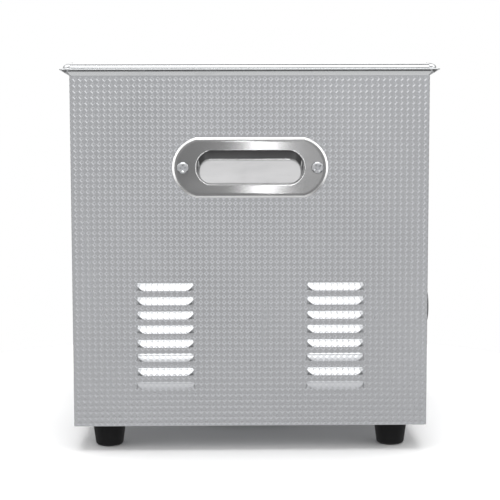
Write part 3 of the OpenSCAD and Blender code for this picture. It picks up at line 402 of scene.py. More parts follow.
# these colours include painted shade for the rim's shoulder band and the pocket band, and a painted highlight
# for the handle's bevel ring
ownColours = {
    "shoulder_painted_shade": (0.24, 0.24, 0.245), "handle_steel": (0.285, 0.285, 0.287),
    "pocket_shade": (0.13, 0.13, 0.131), "polished_edge": (0.96, 0.96, 0.96),
    "foot_rubber": (0.004, 0.004, 0.0045), "dial_ink": (0.02, 0.02, 0.022),
}


def makeFinishes():
    colours = {m["slot"]: tuple(m["base_color"][:3]) for m in frame["record"]["materials"]}
    colours.update(ownColours)
    for slot, (make, name, *sizes) in makers.items():
        finishes[slot] = make(name, colours[slot], *sizes)
    for part in frame["record"]["subparts"]:
        node = frame["nodes"][part["node"]]
        node.data.materials.clear()
        node.data.materials.append(finishes[part["material_slot"]])
    print("finishes made")


def newObject(name, data):
    thing = bpy.data.objects.new(name, data)
    bpy.context.scene.collection.objects.link(thing)
    return thing


def meshFrom(name, points, faces):
    mesh = bpy.data.meshes.new(name)
    mesh.from_pydata([tuple(p) for p in points], [], faces)
    mesh.update()
    return mesh


def tidyMesh(mesh):
    # merges doubles and turns the faces outwards
    work = bmesh.new()
    work.from_mesh(mesh)
    bmesh.ops.remove_doubles(work, verts=work.verts, dist=0.000002)
    bmesh.ops.dissolve_degenerate(work, edges=work.edges, dist=0.0000005)
    bmesh.ops.recalc_face_normals(work, faces=work.faces)
    work.to_mesh(mesh)
    work.free()


def solid(name, shape, place=Matrix()):
    mesh = meshFrom(name, *shape)
    tidyMesh(mesh)
    mesh.transform(place)
    return newObject(name, mesh)


def plainMesh(thing):
    bpy.context.view_layer.update()
    return bpy.data.meshes.new_from_object(thing.evaluated_get(bpy.context.evaluated_depsgraph_get()))


def applyModifiers(thing):
    old, result = thing.data, plainMesh(thing)
    thing.modifiers.clear()
    thing.data = result
    result.name = old.name
    bpy.data.meshes.remove(old)


def cut(thing, shapes):
    # takes closed shapes out of a closed mesh
    cutter = solid("cutter", joined(shapes))
    change = thing.modifiers.new("cut", "BOOLEAN")
    change.operation = "DIFFERENCE"
    change.solver = "MANIFOLD"
    change.object = cutter
    applyModifiers(thing)
    bpy.data.objects.remove(cutter)


def addTo(mesh, others):
    work = bmesh.new()
    for part in [mesh] + others:
        work.from_mesh(part)
    work.to_mesh(mesh)
    work.free()


def settle(piece, body, slot, angle=None, node=None, finish=None):
    # a finished piece's look, shading angle, body, slot and the node that it stands for
    mesh = piece.data
    mesh.materials.clear()
    mesh.materials.append(finishes[finish or slot])
    if angle:
        mesh.polygons.foreach_set("use_smooth", [True] * len(mesh.polygons))
        mesh.update()
        mesh.set_sharp_from_angle(angle=math.radians(angle))
    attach(piece, body)
    if node:
        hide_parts(node)


def middle(node):
    low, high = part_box(node)
    return (Vector(low) + Vector(high)) / 2


def loft(loops, closeStart=True, ring=False):
    # skins a list of closed loops with the same number of points
    count = len(loops[0])
    points = [p for loop in loops for p in loop]
    faces = []
    for i in range(len(loops) if ring else len(loops) - 1):
        a, b = i * count, ((i + 1) % len(loops)) * count
        for k in range(count):
            n = (k + 1) % count
            faces.append((a + k, a + n, b + n, b + k))
    if closeStart and not ring:
        faces.append(tuple(reversed(range(count))))
    if not ring:
        faces.append(tuple(range(len(points) - count, len(points))))
    return points, faces


def joined(shapes):
    points, faces = [], []
    for somePoints, someFaces in shapes:
        start = len(points)
        points += somePoints
        faces += [tuple(i + start for i in f) for f in someFaces]
    return points, faces


def placed(shape, x, y, z=0.0):
    points, faces = shape
    return [Vector(p) + Vector((x, y, z)) for p in points], faces


def circle(radius, z, turns):
    angles = [360 * k / turns for k in range(turns)]
    return [Vector((radius * cosine(a), radius * sine(a), z)) for a in angles]


def roundedLoop(length, width, radius, z, steps=8):
    # plan of a rounded rectangle about the origin
    loop = []
    for k, (sx, sy) in enumerate([(1, 1), (-1, 1), (-1, -1), (1, -1)]):
        cx, cy = sx * (length / 2 - radius), sy * (width / 2 - radius)
        for i in range(steps + 1):
            a = 90 * k + 90 * i / steps
            loop.append(Vector((cx + radius * cosine(a), cy + radius * sine(a), z)))
    return loop


def lathe(profile, turns, ring=False):
    # spins (radius, height) points about the Z axis
    return loft([circle(r, z, turns) for r, z in profile], ring=ring)


def bore(x, y, radius, low=-through, high=through, turns=32):
    return placed(lathe([(radius, low), (radius, high)], turns), x, y)


def roundedSlab(x, y, width, height, radius, low, high, steps):
    return placed(loft([roundedLoop(width, height, radius, z, steps) for z in (low, high)]), x, y)


def boxShape(low, high):
    (x0, y0, z0), (x1, y1, z1) = low, high
    points = [Vector(p) for p in ((x0, y0, z0), (x1, y0, z0), (x1, y1, z0), (x0, y1, z0),
                                  (x0, y0, z1), (x1, y0, z1), (x1, y1, z1), (x0, y1, z1))]
    faces = [(0, 3, 2, 1), (4, 5, 6, 7), (0, 1, 5, 4), (1, 2, 6, 5), (2, 3, 7, 6), (3, 0, 4, 7)]
    return points, faces


class Growth(Graph):
    # a geometry node tree with named inputs, which grows into plain meshes
    def __init__(self, name, inputs):
        super().__init__(bpy.data.node_groups.new(name, "GeometryNodeTree"))
        face = self.tree.interface
        face.new_socket("Geometry", in_out="OUTPUT", socket_type="NodeSocketGeometry")
        for title, kind in inputs.items():
            face.new_socket(title, in_out="INPUT", socket_type="NodeSocket" + kind)
        source = self.tree.nodes.new("NodeGroupInput")
        self.given = {title: Sock(self, source.outputs[title]) for title in inputs}

    def index(self):
        return self.node("GeometryNodeInputIndex", {}, {})

    def copies(self, points, piece, finish, **turnAndSize):
        # a copy of the piece on every point, as real geometry with its finish
        shape = self.node("GeometryNodeObjectInfo", {}, {"Object": self.given[piece]}, "Geometry")
        made = self.node("GeometryNodeInstanceOnPoints", {}, {
            "Points": points, "Instance": shape, **turnAndSize})
        real = self.node("GeometryNodeRealizeInstances", {}, {"Geometry": made})
        merged = self.node("GeometryNodeMergeByDistance", {}, {"Geometry": real, "Distance": 0.000001})
        coated = self.node("GeometryNodeSetMaterial", {}, {"Geometry": merged, "Material": finishes[finish]})
        self.feed(self.tree.nodes.new("NodeGroupOutput").inputs[0], coated)
        return self

    def grow(self, name, values):
        host = newObject(name, bpy.data.meshes.new(name))
        change = host.modifiers.new("grow", "NODES")
        change.node_group = self.tree
        for item in self.tree.interface.items_tree:
            if item.in_out == "INPUT":
                change[item.identifier] = values[item.name]
        applyModifiers(host)
        return host


def gridOfCells():
    # copies one pressed cell over a grid, with its own pitch each way
    tree = Growth("cellGrid", {"Cell": "Object", "Columns": "Int", "Rows": "Int", "Pitch Across": "Float",
                               "Pitch Up": "Float"})
    columns, rows, across, up = (tree.given[k] for k in ("Columns", "Rows", "Pitch Across", "Pitch Up"))
    grid = tree.node("GeometryNodeMeshGrid", {}, {
        "Size X": (columns - 1.0) * across, "Size Y": (rows - 1.0) * up, "Vertices X": columns,
        "Vertices Y": rows})
    return tree.copies(grid, "Cell", "embossed_steel", Scale=tree.vector(across, up, 1.0))


def rowsOfHoods():
    # copies a louvre hood over columns and rows, each tipped a little differently as pressed hoods are
    tree = Growth("louvreRows", {"Hood": "Object", "Rows": "Int", "Row Pitch": "Float", "Column Gap": "Float",
                                 "Tip Spread": "Float", "Shallow": "Float", "Shallow Step": "Float",
                                 "Seed": "Int"})
    rows, spread = tree.given["Rows"], tree.given["Tip Spread"]
    grid = tree.node("GeometryNodeMeshGrid", {}, {
        "Size X": tree.given["Column Gap"], "Size Y": (rows - 1.0) * tree.given["Row Pitch"], "Vertices X": 2,
        "Vertices Y": rows})
    tip = tree.node("FunctionNodeRandomValue", {"data_type": "FLOAT"}, {
        2: spread * -1.0, 3: spread, "Seed": tree.given["Seed"]}, 1)
    # every second one of the lower rows is shallower, the lowest most of all
    row = tree.index() % rows
    chosen = ((row % 2.0) < 0.5) * (row < 4.5)
    drop = chosen * (tree.given["Shallow"] - row * tree.given["Shallow Step"])
    return tree.copies(grid, "Hood", "embossed_steel", Scale=tree.vector(1.0, 1.0, tip + (1.0 - drop)))


def dialMarks():
    # ticks round a dial, with every so many of them longer
    tree = Growth("dialMarks", {"Tick": "Object", "Count": "Int", "Radius": "Float", "Sweep": "Float",
                                "Long Every": "Int", "Long": "Float"})
    index, count = tree.index(), tree.given["Count"]
    line = tree.node("GeometryNodeMeshLine", {}, {"Count": count, "Offset": (0, 0, 0)})
    spin = tree.vector(0.0, 0.0, index / (count - 1.0) * tree.given["Sweep"] * -1.0)
    place = tree.node("ShaderNodeVectorRotate", {"rotation_type": "EULER_XYZ"}, {
        "Vector": tree.vector(0.0, tree.given["Radius"], 0.0), "Rotation": spin})
    moved = tree.node("GeometryNodeSetPosition", {}, {"Geometry": line, "Position": place})
    isLong = (index % tree.given["Long Every"]) < 0.5
    size = tree.vector(1.0, isLong * tree.given["Long"] + 1.0, 1.0)
    return tree.copies(moved, "Tick", "dial_ink", Rotation=spin, Scale=size)


def pairOnLine():
    # the same fixing at both ends of a line, the second one turned
    tree = Growth("pairOnLine", {"Fixing": "Object", "Gap": "Float", "Turn": "Float"})
    gap = tree.given["Gap"]
    line = tree.node("GeometryNodeMeshLine", {}, {
        "Count": 2, "Start Location": tree.vector(gap * -0.5, 0.0, 0.0),
        "Offset": tree.vector(gap, 0.0, 0.0)})
    spin = tree.vector(0.0, 0.0, tree.index() * tree.given["Turn"])
    return tree.copies(line, "Fixing", "bright_fixings", Rotation=spin)


housing = {"endX": -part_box("base_plate")[0][0] + 1.3 * mm, "frontY": -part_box("front_panel")[0][1],
           "skirt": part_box("left_side_panel")[0][2], "top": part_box("left_side_panel")[1][2],
           "sheet": 1.0 * mm, "bend": 2.0 * mm, "bendColumns": 6, "flatColumns": 60}
ledge = {"low": 1.2 * mm, "sheet": 1.0 * mm, "deep": 14 * mm, "tall": 9 * mm, "endInset": 30 * mm,
         "frontInset": 20 * mm}
seamTab = {"inset": 1.05 * mm, "sheet": 0.95 * mm, "low": 14 * mm, "nearest": 9 * mm, "deep": 23 * mm}
holes = {"pocket": (81.4 * mm, 34 * mm, 6 * mm), "handleScrew": 2.2 * mm, "valve": 10.5 * mm, "bush": 5.2 * mm,
         "lamp": 4.2 * mm, "fan": 28 * mm, "fanScrews": 25 * mm, "inlet": (14.2 * mm, 16.2 * mm),
         "inletScrews": 20 * mm, "switch": (6.7 * mm, 9.7 * mm), "screw": 1.7 * mm}
emboss = {"pitch": 4.2 * mm, "depth": 0.17 * mm, "dot": 0.2, "edge": 0.47}
louvre = {"length": 42.4 * mm, "height": 5.6 * mm, "out": 2.3 * mm, "pitch": 10.3 * mm, "rows": 8,
          "low": 48.2 * mm, "columnGap": 122.4 * mm, "endSlope": 5.6 * mm, "topRound": 3.0 * mm,
          "dent": 0.19 * mm, "patternShift": 0.7 * mm, "sheet": 0.8 * mm, "tipSpread": 0.06, "shallow": 0.58,
          "shallowStep": 0.14, "seed": 4, "slotInset": 1.6 * mm, "slotTop": 1.9 * mm}


def faceMatrix(side, origin=None):
    # on a face of the housing, x runs to the right as seen from outside, y is up and z points out
    across, out = {"right": ((0, 1, 0), (1, 0, 0)), "left": ((0, -1, 0), (-1, 0, 0)),
                   "front": ((1, 0, 0), (0, -1, 0)), "rear": ((-1, 0, 0), (0, 1, 0))}[side]
    if origin is None:
        origin = Vector(out) * (housing["endX"] if out[0] else housing["frontY"])
    return Matrix([(across[i], float(i == 2), out[i], origin[i]) for i in range(3)] + [(0, 0, 0, 1)])


def pressedCell():
    # one unit cell: four flat corners, a sloping diamond ring and a small flat floor, from -0.5 to 0.5
    points = [(-0.5, -0.5, 0), (0.5, -0.5, 0), (0.5, 0.5, 0), (-0.5, 0.5, 0)]
    for r, z in ((0.5, 0), (emboss["edge"], 0), (emboss["dot"], -emboss["depth"])):
        points += [(0, -r, z), (r, 0, z), (0, r, z), (-r, 0, z)]
    faces = []
    for k in range(4):
        n = (k + 1) % 4
        faces.append((4 + k, n, 4 + n))
        faces.append((8 + k, 4 + k, 4 + n, 8 + n))
        faces.append((12 + k, 8 + k, 8 + n, 12 + n))
    faces.append((12, 13, 14, 15))
    return newObject("pressedCell", meshFrom("pressedCell", points, faces))


def louvreHood():
    # a hood pressed out of the sheet: hinged along the top, open underneath, both ends drawn down to the sheet
    halfLength, height, pitch = louvre["length"] / 2, louvre["height"], emboss["pitch"]
    columns, rows, soft = 84, 9, 0.16

    def rise(x, y):
        bend, past = louvre["topRound"], abs(x) - halfLength + louvre["topRound"]
        drop = bend - math.sqrt(max(0, bend * bend - past * past)) if past > 0 else 0
        ramp = (height / 2 - drop - y) / height
        far = max(0.0, min(1.0, (height / 2 - y) / height))
        ends = (halfLength - abs(x)) / (louvre["endSlope"] * (0.35 + 0.65 * far ** 1.5))
        near = max(soft - abs(ramp - ends), 0) / soft
        return louvre["out"] * max(0.0, min(ramp, ends) - near * near * soft * 0.25)

    def pressed(x, y):
        spread = abs((x / pitch) % 1.0 - 0.5) + abs(((y + louvre["patternShift"]) / pitch) % 1.0 - 0.5)
        slope = (spread - emboss["dot"]) / (emboss["edge"] - emboss["dot"])
        return -louvre["dent"] * (1 - min(1.0, max(0.0, slope)))

    front, back = [], []
    for j in range(rows + 1):
        for i in range(columns + 1):
            x, y = -halfLength + louvre["length"] * i / columns, height / 2 - height * j / rows
            z = rise(x, y)
            fade = min(1.0, z / (0.25 * louvre["out"]))
            front.append(Vector((x, y, z + pressed(x, y) * fade + (0.02 * mm if z > 0 else -0.12 * mm))))
            back.append(Vector((x, y, z - louvre["sheet"])))
    wide, under = columns + 1, len(front)
    faces = []
    for j in range(rows):
        for a in range(j * wide, j * wide + columns):
            faces.append((a, a + wide, a + wide + 1, a + 1))
            faces.append((under + a, under + a + 1, under + a + wide + 1, under + a + wide))
    edge = list(range(wide)) + [j * wide + columns for j in range(1, rows + 1)]
    edge += [rows * wide + i for i in range(columns - 1, -1, -1)] + [j * wide for j in range(rows - 1, 0, -1)]
    for k, a in enumerate(edge):
        b = edge[(k + 1) % len(edge)]
        faces.append((a, b, under + b, under + a))
    return solid("louvreHood", (front + back, faces))


def louvreSlots():
    halfLength, halfHeight = louvre["length"] / 2 - louvre["slotInset"], louvre["height"] / 2
    shapes = []
    for x in (-louvre["columnGap"] / 2, louvre["columnGap"] / 2):
        for k in range(louvre["rows"]):
            y = louvre["low"] + k * louvre["pitch"]
            shapes.append(boxShape((x - halfLength, y - halfHeight, -through),
                                   (x + halfLength, y + halfHeight - louvre["slotTop"], through)))
    return shapes


def bentRound(point, flat, bend):
    # wraps a flat sheet's x round the two upright bends; z stays the distance out of the surface
    x, y, z = point
    side, along = (1 if x >= 0 else -1), abs(x) - flat
    if along <= 0:
        return point
    if along <= bend * math.pi / 2:
        a, r = along / bend, bend + z
        return Vector((side * (flat + r * math.sin(a)), y, -bend + r * math.cos(a)))
    return Vector((side * (flat + bend + z), y, -bend - (along - bend * math.pi / 2)))


def pressedSheet(name, tree, cell, columns, across, cuts):
    # flat embossed sheet in face coordinates, its front at z = 0
    tall = housing["top"] - housing["skirt"]
    rows = round(tall / emboss["pitch"])
    sheet = tree.grow(name, {"Cell": cell, "Columns": columns, "Rows": rows, "Pitch Across": across,
                             "Pitch Up": tall / rows})
    sheet.data.transform(Matrix.Translation((0, (housing["top"] + housing["skirt"]) / 2, 0)))
    thickness = sheet.modifiers.new("thickness", "SOLIDIFY")
    thickness.thickness = housing["sheet"]
    thickness.offset = -1
    applyModifiers(sheet)
    cut(sheet, cuts)
    return sheet


def baseLedge(reach):
    # the folded ledge that takes the base screws
    low, sheet = housing["skirt"] + ledge["low"], ledge["sheet"]
    return [boxShape((-reach, low, -ledge["deep"]), (reach, low + sheet, -sheet)),
            boxShape((-reach, low, -2 * sheet), (reach, low + ledge["tall"], -sheet))]


def settlePanel(sheet, side, parts, node):
    addTo(sheet.data, parts)
    sheet.data.transform(faceMatrix(side))
    settle(sheet, "housing", "embossed_steel", 8, node)
    print(sheet.name, len(sheet.data.polygons), "faces")


def endPanel(name, side, trees, cell, hood, extraCuts, node):
    halfWidth = housing["frontY"]
    flat = halfWidth - housing["bend"]
    width, height, corner = holes["pocket"]
    cuts = louvreSlots()
    cuts.append(roundedSlab(0, handle["z"] + pocket["rise"], width, height, corner, -through, through, 5))
    cuts += [bore(s * handle["screwGap"] / 2, handle["z"], holes["handleScrew"], turns=16) for s in (-1, 1)]
    columns = housing["flatColumns"] + housing["bendColumns"]
    sheet = pressedSheet(name, trees[0], cell, columns, 2 * flat / housing["flatColumns"], cuts + extraCuts)
    for vertex in sheet.data.vertices:
        vertex.co = bentRound(vertex.co, flat, housing["bend"])
    hoods = trees[1].grow("hoods", {
        "Hood": hood, "Rows": louvre["rows"], "Row Pitch": louvre["pitch"], "Column Gap": louvre["columnGap"],
        "Tip Spread": louvre["tipSpread"], "Shallow": louvre["shallow"], "Shallow Step": louvre["shallowStep"],
        "Seed": louvre["seed"]})
    hoods.data.transform(Matrix.Translation((0, louvre["low"] + louvre["pitch"] * (louvre["rows"] - 1) / 2, 0)))
    # seam tabs behind the front and rear panels
    extras = []
    for s in (-1, 1):
        x0, x1 = sorted(s * (halfWidth - seamTab["inset"] - k * seamTab["sheet"]) for k in (0, 1))
        extras.append(boxShape((x0, housing["skirt"] + seamTab["low"], -seamTab["deep"]),
                               (x1, housing["top"] - 1 * mm, -seamTab["nearest"])))
    extras += baseLedge(halfWidth - ledge["endInset"])
    settlePanel(sheet, side, [hoods.data, meshFrom("extras", *joined(extras))], node)
    bpy.data.objects.remove(hoods)


def flatPanel(name, side, tree, cell, cuts, node):
    low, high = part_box(node)
    width = high[0] - low[0] + 0.3 * mm
    columns = round(width / emboss["pitch"])
    sheet = pressedSheet(name, tree, cell, columns, width / columns, cuts)
    settlePanel(sheet, side, [meshFrom("ledge", *joined(baseLedge(width / 2 - ledge["frontInset"])))], node)


lampRadius = 5 * mm


def lampHeights():
    low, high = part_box("indicator_lamps")
    return low[2] + lampRadius, high[2] - lampRadius


def makePanels():
    cell, hood = pressedCell(), louvreHood()
    trees = gridOfCells(), rowsOfHoods()
    endPanel("leftSidePanel", "left", trees, cell, hood, [], "left_side_panel")
    valve, fan = middle("valve_locknut"), middle("fan_frame")
    inlet, switch = middle("power_inlet"), middle("switch_housing")
    endPanel("rightSidePanel", "right", trees, cell, hood, [bore(valve.y, valve.z, holes["valve"])],
             "right_side_panel")
    frontCuts = [bore(knob.x, knob.z, holes["bush"]) for knob in (middle("timer_knob"), middle("heat_knob"))]
    frontCuts += [bore(middle("indicator_lamps").x, z, holes["lamp"]) for z in lampHeights()]
    flatPanel("frontPanel", "front", trees[0], cell, frontCuts, "front_panel")
    rearCuts = [bore(-fan.x, fan.z, holes["fan"], turns=48)]
    for part, (halfWidth, halfHeight) in ((inlet, holes["inlet"]), (switch, holes["switch"])):
        rearCuts.append(boxShape((-part.x - halfWidth, part.z - halfHeight, -through),
                                 (-part.x + halfWidth, part.z + halfHeight, through)))
    for sx in (-1, 1):
        rearCuts.append(bore(-inlet.x + sx * holes["inletScrews"], inlet.z, holes["screw"], turns=12))
        for sz in (-1, 1):
            x, z = -fan.x + sx * holes["fanScrews"], fan.z + sz * holes["fanScrews"]
            rearCuts.append(bore(x, z, holes["screw"], turns=12))
    flatPanel("rearPanel", "rear", trees[0], cell, rearCuts, "rear_panel")
    bpy.data.objects.remove(cell)
    bpy.data.objects.remove(hood)


tank = {"deckEnd": 22 * mm, "deckSide": 15 * mm, "corner": 28 * mm, "footRadius": 15 * mm, "sheet": 1.0 * mm,
        "overhang": 7 * mm, "lipDepth": 9 * mm, "mouth": 4 * mm, "steps": 14, "drainHole": 10 * mm}
# the rim's section: offsets out from the housing and depths below the deck, ending with the depths of the
# painted shade band on the shoulder
rim = {"start": 0.7 * mm, "shoulder": 3.5 * mm, "fall": 0.8 * mm, "lead": 3.5 * mm, "tip": 0.42 * mm,
       "tipDepth": 4.72 * mm, "sweep": ((4.2, 3.75), (4.5, 4.02), (5.1, 4.12)), "returnDepth": 5.2 * mm,
       "sideReach": 3.3 * mm, "sideDrop": 1.8 * mm, "back": 0.15 * mm, "paintedShadeFrom": 0.1 * mm,
       "paintedShadeTo": 1.15 * mm}


def makeTank():
    low, high = (Vector(p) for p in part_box("tank"))
    rimL, rimW, top, t, n = high.x - low.x, high.y - low.y, high.z, tank["sheet"], tank["steps"]
    bodyL, bodyW = rimL - 2 * tank["overhang"], rimW - 2 * tank["overhang"]
    inL, inW = rimL - 2 * tank["deckEnd"], rimW - 2 * tank["deckSide"]
    floor, f, m = low.z + t, tank["footRadius"], tank["mouth"]
    start, s, fall, lead = rim["start"], rim["shoulder"], rim["fall"], rim["lead"]

    def inner(out, z):
        return roundedLoop(inL + 2 * out, inW + 2 * out, tank["corner"] + out, z, n)

    def outer(out, z):
        return roundedLoop(bodyL + 2 * out, bodyW + 2 * out, housing["bend"] + out, z, n)

    def floorLoop(inset, corner, z):
        return roundedLoop(inL - 2 * inset, inW - 2 * inset, corner, z, n)

    loops = [floorLoop(60 * mm, 6 * mm, floor), floorLoop(f + 15 * mm, 10 * mm, floor)]
    loops += [inner(-f + f * sine(a), floor + f - f * cosine(a)) for a in range(0, 91, 9)]
    loops += [inner(0.0, floor + (top - m - floor) * k / 4) for k in (2, 3)]
    loops += [inner(m - m * cosine(a), top - m + m * sine(a)) for a in range(0, 91, 9)]
    # flat deck, rounded shoulder and rolled lip
    loops += [outer(start - lead, top), outer(start - lead / 2, top - 0.45 * fall)]
    loops += [outer(start + s * sine(a), top - s + (s - fall) * cosine(a)) for a in range(6, 91, 12)]
    loops += [outer(out * mm, top - deep * mm) for out, deep in rim["sweep"]]
    tip, tipZ = rim["tip"], top - rim["tipDepth"]
    loops += [outer(tank["overhang"] - tip + tip * sine(a), tipZ + tip * cosine(a)) for a in range(0, 150, 15)]
    # sloping return, deeper along the two long sides than at the ends
    under = []
    for p in outer(rim["back"], top - rim["returnDepth"]):
        along = (abs(p.y) - bodyW / 2 + housing["bend"] + 3 * mm) / (housing["bend"] + 2 * mm)
        share = max(0.0, min(1.0, along)) ** 2
        reach = rim["sideReach"] * share
        under.append(p + Vector((math.copysign(reach * 0.3, p.x), math.copysign(reach, p.y),
                                 -rim["sideDrop"] * share)))
    lipZ = top - tank["lipDepth"]
    loops += [under, outer(rim["back"], lipZ), outer(0.12 * mm, lipZ + 0.9 * mm)]
    loops += [outer(-0.3 * mm, top - rim["returnDepth"]), outer(2.6 * mm, top - 4.6 * mm)]
    # the same section back again, one sheet further in
    turn = range(90, -1, -15)
    loops += [outer(start + (s - t) * sine(a), top - s + (s - t - fall) * cosine(a)) for a in turn]
    loops.append(outer(start - lead, top - t))
    loops += [inner(m - (m - t) * cosine(a), top - m + (m - t) * sine(a)) for a in turn]
    loops += [inner(-f + (f + t) * sine(a), floor + f - (f + t) * cosine(a)) for a in turn]
    loops.append(floorLoop(60 * mm, 6 * mm, floor - t))
    piece = solid("drawnTank", loft(loops))
    drain = middle("drain_strainer")
    cut(piece, [bore(drain.x, drain.y, tank["drainHole"], floor - 4 * mm, floor + 4 * mm, 48)])
    settle(piece, "housing", "tank_steel", 25, "tank")
    # painted shade: faces on top of the rim's shoulder take a darker copy of the tank steel, in place of a dark
    # reflection line along the rim
    piece.data.materials.append(finishes["shoulder_painted_shade"])
    for face in piece.data.polygons:
        x, y, z = face.center
        outside = abs(x) > inL / 2 + m or abs(y) > inW / 2 + m
        if outside and top - rim["paintedShadeTo"] < z < top - rim["paintedShadeFrom"] and face.normal.z > 0.5:
            face.material_index = 1
    print("tank", len(piece.data.polygons), "faces")
    return piece


handle = {"width": 111 * mm, "height": 43 * mm, "endRadius": 22.15 * mm, "thick": 2 * mm, "bevel": 1.5 * mm,
          "gripWidth": 75.6 * mm, "gripHeight": 23.4 * mm, "gripRadius": 12 * mm, "gripLip": 0.8 * mm,
          "screwGap": 95.8 * mm, "screwTurn": 0.6, "z": middle("left_handle").z}
pocket = {"height": 30.4 * mm, "corner": 9 * mm, "rise": 3.5 * mm, "low": -11.7 * mm}
backWall = {"low": -11.8 * mm, "high": 5.4 * mm, "corner": 8 * mm, "narrower": 3 * mm, "set": 0.9 * mm,
            "lean": 5.2 * mm}
screwSize = {"head": 8.6 * mm, "tall": 2.4 * mm, "shank": 4.0 * mm, "length": 9.0 * mm, "slot": 1.3 * mm,
             "reach": 2.9 * mm, "threads": 10, "threadPitch": 0.8 * mm}


def slotLoop(width, height, radius, inset, z, steps=16):
    # straight top and bottom with large round ends, drawn in by inset
    r = radius - inset
    lean = math.asin(min(1.0, (height / 2 - inset) / r))
    loop = []
    for side in (1, -1):
        for i in range(steps + 1):
            a = -lean + 2 * lean * i / steps
            loop.append(Vector((side * (width / 2 - radius + r * math.cos(a)), side * r * math.sin(a), z)))
    return loop


def cornerLoop(width, height, radius, steps=16):
    # rounded rectangle with as many points as slotLoop
    loop = []
    for side in (1, -1):
        for i in range(steps + 1):
            a = math.pi * (i / steps - 0.5)
            cy = (height / 2 - radius) * ((i > steps / 2) - (i < steps / 2))
            loop.append(Vector((side * (width / 2 - radius + radius * math.cos(a)),
                                side * (cy + radius * math.sin(a)), 0)))
    return loop


def flangeLoop(inset, z):
    return slotLoop(handle["width"], handle["height"], handle["endRadius"], inset, z)


def gripLoop(inset, z):
    return slotLoop(handle["gripWidth"], handle["gripHeight"], handle["gripRadius"], inset, z)


def pocketLoop(grow, z, tilt=0.0, pull=0.0):
    # in mm: the pocket behind the opening, which reaches higher than it and leans back towards the top
    out, tall = (grow - pull) * mm, pocket["height"]
    loop = cornerLoop(handle["gripWidth"] + 2 * out, tall + 2 * (out - 1 * mm), pocket["corner"] + out)
    for p in loop:
        p.y += pocket["rise"]
        p.z = (z - tilt * (p.y - pocket["low"]) / tall) * mm
    return loop


def wallLoop(grow, z):
    # in mm: the flat back wall, leaning back towards its top edge, where the pocket turns forward again
    low, high, out = backWall["low"], backWall["high"], grow * mm
    loop = cornerLoop(handle["gripWidth"] - backWall["narrower"] + 2 * out, high - low + 2 * out,
                      backWall["corner"] + out)
    for p in loop:
        p.y += (low + high) / 2
        p.z = z * mm - backWall["set"] - backWall["lean"] * (p.y - low) / (high - low)
    return loop


def handleShape():
    t, b, lip = handle["thick"], handle["bevel"], handle["gripLip"]
    front = [flangeLoop(0, 0), flangeLoop(0, t - b * 0.8), flangeLoop(0.12 * mm, t - b * 0.72),
             flangeLoop(b - 0.1 * mm, t - 0.04 * mm), flangeLoop(b, t), flangeLoop(b + 2 * mm, t),
             gripLoop(-1.6 * mm, t)]
    front += [gripLoop(-lip + lip * sine(a), t - lip + lip * cosine(a)) for a in range(0, 91, 15)]
    front += [gripLoop(0, 0.5 * mm), gripLoop(-0.4 * mm, -0.2 * mm)]
    front += [pocketLoop(0.6, -0.3), pocketLoop(0.9, -0.4, 1), pocketLoop(1, -0.4, 1.7),
              pocketLoop(1, -0.5, 2.0, 0.8), wallLoop(0.6, 0.25), wallLoop(0, 0.0), wallLoop(-1.2, 0.0)]
    back = [flangeLoop(0, 0), pocketLoop(1.9, -0.1), pocketLoop(1.9, -1.2, 2.5),
            pocketLoop(1.9, -1.5, 2.9, 0.8), wallLoop(1.2, -1.1), wallLoop(-1.2, -1.2)]
    return joined([loft(front, closeStart=False), loft(back, closeStart=False)])


def makeScrew():
    # pan head with a tapered cross recess; the head sits on z = 0 and the threaded shank points down
    hr, ht, sr, length = screwSize["head"] / 2, screwSize["tall"], screwSize["shank"] / 2, screwSize["length"]
    profile = [(0.02 * mm, ht), (hr * 0.4, ht)]
    profile += [(hr - 1.3 * mm * (1 - sine(a)), ht - 1.5 * mm * (1 - cosine(a))) for a in range(0, 91, 15)]
    profile += [(hr, 0.25 * mm), (hr - 0.25 * mm, 0), (sr, 0)]
    for k in range(screwSize["threads"]):
        z = -0.6 * mm - k * screwSize["threadPitch"]
        profile += [(sr, z), (sr - 0.3 * mm, z - screwSize["threadPitch"] / 2)]
    profile += [(sr - 0.6 * mm, -length), (0.02 * mm, -length)]
    screw = solid("panScrew", lathe(profile, 40))
    for turn in (0, 1):
        loops = []
        for z, scale in ((ht - 1.7 * mm, 0.35), (ht + 0.2 * mm, 1.06)):
            x, y = screwSize["reach"] * scale, screwSize["slot"] / 2 * (0.7 + 0.3 * scale)
            corners = [(-x, -y), (x, -y), (x, y), (-x, y)]
            loops.append([Vector((-v, u, z) if turn else (u, v, z)) for u, v in corners])
        cut(screw, [loft(loops)])
    return screw


